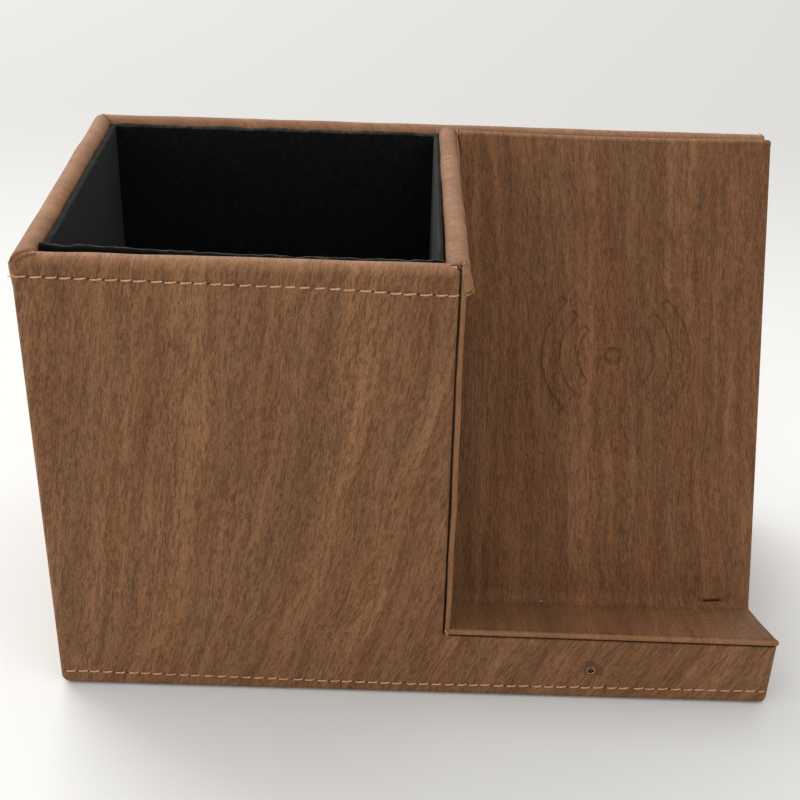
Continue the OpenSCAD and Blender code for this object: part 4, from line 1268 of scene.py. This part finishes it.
stitch_line("top_thread", XL + 0.9, SEAM - 0.15, ztop, "top_stitching")
stitch_line("bottom_thread", XL + 1.2, XR - 1.2, zlow, "bottom_stitching", hole_h=0.45)

# cut edge of the covering round the light hole
ang = np.linspace(0, 2 * np.pi, 40, endpoint=False)
ringp = np.stack([44.2 + 0.98 * np.cos(ang), np.full(40, YF + 0.02), 9.6 + 0.98 * np.sin(ang)], 1)
V = []
for da in np.linspace(0, 2 * np.pi, 8, endpoint=False):
    rr = 0.98 + 0.09 * math.cos(da)
    V.append(np.stack([44.2 + rr * np.cos(ang), np.full(40, YF + 0.03 + 0.09 * math.sin(da)), 9.6 + rr * np.sin(ang)], 1))
V = np.array(V)
ob = make("light_hole_edge", V.reshape(-1, 3), grid_faces(8, 40, close_u=True, close_v=True), RAW, auto=None)
fix_normals(ob)

# ------------------------------------------------------------------ dark piece in the seam under the ledge: painted shade where the nose shades the strip


def seam_shade_piece():
    xs = np.linspace(SEAM + 0.9, XR - 0.9, 70)
    rows = []
    w = Waves(101, 7)
    for x in xs:
        fall = 1.00 - 0.70 * (x - SEAM) / 83
        zc_ = 19.05 + fall + 0.06 * float(w(np.array([[x, 0.0, 0.0]]))[0])
        ring = []
        for q in range(10):
            a = 2 * np.pi * q / 10
            ring.append((x, YF + 1.25 + 0.62 * math.cos(a) + 0.05 * float(w(np.array([[x, 9.0, 0.0]]))[0]), zc_ + 0.95 * math.sin(a)))
        rows.append(ring)
    V = np.array(rows)
    F = grid_faces(len(xs), 10, close_v=True)
    F.append(tuple(range(10))[::-1])
    F.append(tuple((len(xs) - 1) * 10 + k for k in range(10)))
    ob = make("ledge_seam_shade", V.reshape(-1, 3), F, SEAM_SHADE, auto=60)
    fix_normals(ob)


seam_shade_piece()


def corner_tucks():
    """Covering tucked over the front board's corner, and a dark piece at the end of the seam beside the divider's rim:
    painted shade in the gap.
    """
    V, F = tube([(-89.35, -45.05, 117.6), (-88.65, -44.70, 118.35), (-87.4, -44.22, 118.92), (-86.1, -43.98, 119.18), (-84.4, -43.75, 119.25)], np.array([0.34, 0.52, 0.52, 0.46, 0.28]), 14)
    gg = np.stack([V[:, 0] * 1.0, V[:, 2] + V[:, 1], np.zeros(len(V))], 1)
    # the tuck is painted lighter all over: partly stretch wear, partly painted highlight on the fold
    fix_normals(make("corner_tuck", V, F, LEATHER_F, gg, extra={"wear_and_painted_highlight": np.full(len(V), 0.6)}, auto=70))
    # dark piece in the gap beside the divider's rim: painted shade
    V, F = tube([(2.6, -43.34, 118.98), (4.0, -43.36, 119.05), (5.45, -43.38, 119.0)], np.array([0.24, 0.30, 0.24]), 12)
    fix_normals(make("divider_seam_shade", V, F, SEAM_SHADE, auto=70))


corner_tucks()

# ------------------------------------------------------------------ frayed ends and a fleck of lint


def fibres(name, specs, mat):
    VV, FF, base = [], [], 0
    for p0, p1, sag_, rad in specs:
        t_ = np.linspace(0, 1, 7)[:, None]
        P = np.array(p0) * (1 - t_) + np.array(p1) * t_ + np.array(sag_) * 4 * t_ * (1 - t_)
        V, F = tube(P, rad * (1 - 0.45 * t_[:, 0] ** 2), 6, up=(0.3, 0.8, 0.5))
        VV.append(V)
        FF += [tuple(q + base for q in f) for f in F]
        base += len(V)
    ob = make(name, np.concatenate(VV), FF, mat, auto=None)
    fix_normals(ob)
    return ob


zc = 19.75
fibres("cut_edge_threads", [
    ((XL + 1.2, YF - 0.05, 114.75), (XL - 0.60, YF + 0.25, 114.5), (0, 0, 0.12), 0.17),
    ((XL + 0.6, YF + 0.1, 115.0), (XL - 0.3, YF + 0.5, 115.4), (0, 0, 0.1), 0.07)], THREAD)
fibres("frayed_hem", [
    ((SEAM + 0.5, YF + 0.02, H - 6.75), (SEAM + 1.7, YF - 0.02, H - 6.35), (0, -0.05, -0.12), 0.08),
    ((SEAM + 1.5, YF + 0.02, H - 6.40), (SEAM + 2.5, YF + 0.05, H - 5.85), (0, -0.05, -0.10), 0.09),
    ((DSK + 1.15, YF + 0.3, H - 6.0), (DSK + 1.35, YF + 0.3, H - 5.0), (0.06, 0, 0), 0.08),
    ((SEAM - 0.55, YF + 0.75, H - 0.32), (SEAM + 0.15, YF + 0.90, H - 0.60), (0, 0, 0.12), 0.06),
    ((DSK - 0.55, YB - WALL - 0.5, H - 0.05), (DSK - 0.35, YB - WALL - 2.4, H - 1.0), (0.05, 0, 0.1), 0.13),
    ((XR - 1.9, YB - 1.2, H + 0.02), (XR - 0.75, YB - 3.4, H - 0.35), (0.1, 0, 0.08), 0.15),
    ((XL + WALL + 1.4, YB - WALL - 1.1, H - 1.2), (XL + WALL + 1.6, YB - WALL - 1.5, H - 2.9), (0, 0, 0), 0.07)], RAW)
ca = np.linspace(0.15, np.pi / 2 - 0.2, 6)
fibres("inner_corner_cut", [
    ((SEAM + 1.05, YF + 0.10, zc + 1.50), (SEAM + 1.95, YF + 0.08, zc + 0.35), (-0.14, 0, -0.14), 0.13)], RAW)
fibres("lint_fleck", [
    ((32.9, -19.62, 10.26), (34.1, -19.60, 10.27), (0, 0, 0.03), 0.15)], RAW)

# ------------------------------------------------------------------ floor, light, camera


def stage_and_light():
    m, nt, bs = new_mat("stage_floor_pale")
    t = NT(nt)
    tc = t.n("TexCoord")
    sp_ = t.n("SeparateXYZ")
    t.link(tc.outputs["Object"], sp_.inputs[0])
    # floor painted darker further back: painted shade standing in for the light falling off away from the object
    far_painted_falloff = t.maprange(sp_.outputs[1], 0.00, 0.42, 0.0, 1.0, True)
    t.link(t.mixc(far_painted_falloff, (0.645, 0.645, 0.632), (0.440, 0.437, 0.427)), bs.inputs["Base Color"])
    bs.inputs["Roughness"].default_value = 0.8
    bs.inputs["Specular IOR Level"].default_value = 0.15
    me = bpy.data.meshes.new("floor")
    s = 6.0
    me.from_pydata([(-s, -s, 0), (s, -s, 0), (s, s, 0), (-s, s, 0)], [], [(0, 1, 2, 3)])
    me.materials.append(m)
    fl = bpy.data.objects.new("floor", me)
    bpy.context.scene.collection.objects.link(fl)
    w = bpy.data.worlds.new("studio")
    bpy.context.scene.world = w
    w.use_nodes = True
    bg = w.node_tree.nodes["Background"]
    bg.inputs["Color"].default_value = (1.0, 0.995, 0.985, 1)
    bg.inputs["Strength"].default_value = 0.94

    def area(name, loc, target, size, power, col=(1, 1, 1)):
        ld = bpy.data.lights.new(name, "AREA")
        ld.shape = "RECTANGLE"
        ld.size, ld.size_y = size
        ld.energy = power
        ld.color = col
        ob = bpy.data.objects.new(name, ld)
        bpy.context.scene.collection.objects.link(ob)
        ob.location = loc
        d = Vector(target) - Vector(loc)
        ob.rotation_euler = d.to_track_quat("-Z", "Y").to_euler()
        return ob
    area("overhead", (-0.1, 0.15, 1.7), (0, 0, 0), (2.4, 2.4), 7, (1.0, 0.995, 0.985))
    area("window_back_left", (-1.3, 2.0, 1.75), (0, 0, 0.05), (2.4, 1.6), 68, (1.0, 0.99, 0.975))
    area("window_left", (-1.1, 0.25, 0.70), (-0.15, 0, 0.0), (0.9, 0.9), 3.0, (1.0, 1.0, 0.985))
    area("window_top_right", (0.55, -0.55, 1.15), (0.04, 0, 0.06), (0.5, 0.5), 1.2, (1.0, 0.985, 0.96))
    area("front_left_low", (-0.75, -0.95, 0.28), (-0.02, 0, 0.02), (0.6, 0.4), 2.3, (1.0, 0.985, 0.96))
    return


stage_and_light()

C = np.array([-7.50, -310.48, 243.43]) * MM
pitch, yaw, roll, fpx = math.radians(30.568), math.radians(-0.295), math.radians(1.899), 1376.7
sp, cp, sy, cy = math.sin(pitch), math.cos(pitch), math.sin(yaw), math.cos(yaw)
Fv = np.array([-sy * cp, cy * cp, -sp])
R0 = np.array([cy, sy, 0])
U0 = np.array([-sy * sp, cy * sp, cp])
cr, sr = math.cos(roll), math.sin(roll)
Rt = cr * R0 + sr * U0
Up = -sr * R0 + cr * U0
cam = bpy.data.cameras.new("camera")
cam.sensor_width = 36
cam.lens = fpx / 800 * 36
cam.clip_start = 0.01
co = bpy.data.objects.new("camera", cam)
bpy.context.scene.collection.objects.link(co)
M = Matrix.Identity(4)
for i in range(3):
    M[i][0], M[i][1], M[i][2], M[i][3] = Rt[i], Up[i], -Fv[i], C[i]
co.matrix_world = M
bpy.context.scene.camera = co
bpy.context.scene.view_settings.view_transform = "Standard"
bpy.context.scene.view_settings.look = "None"

bpy.context.view_layer.update()
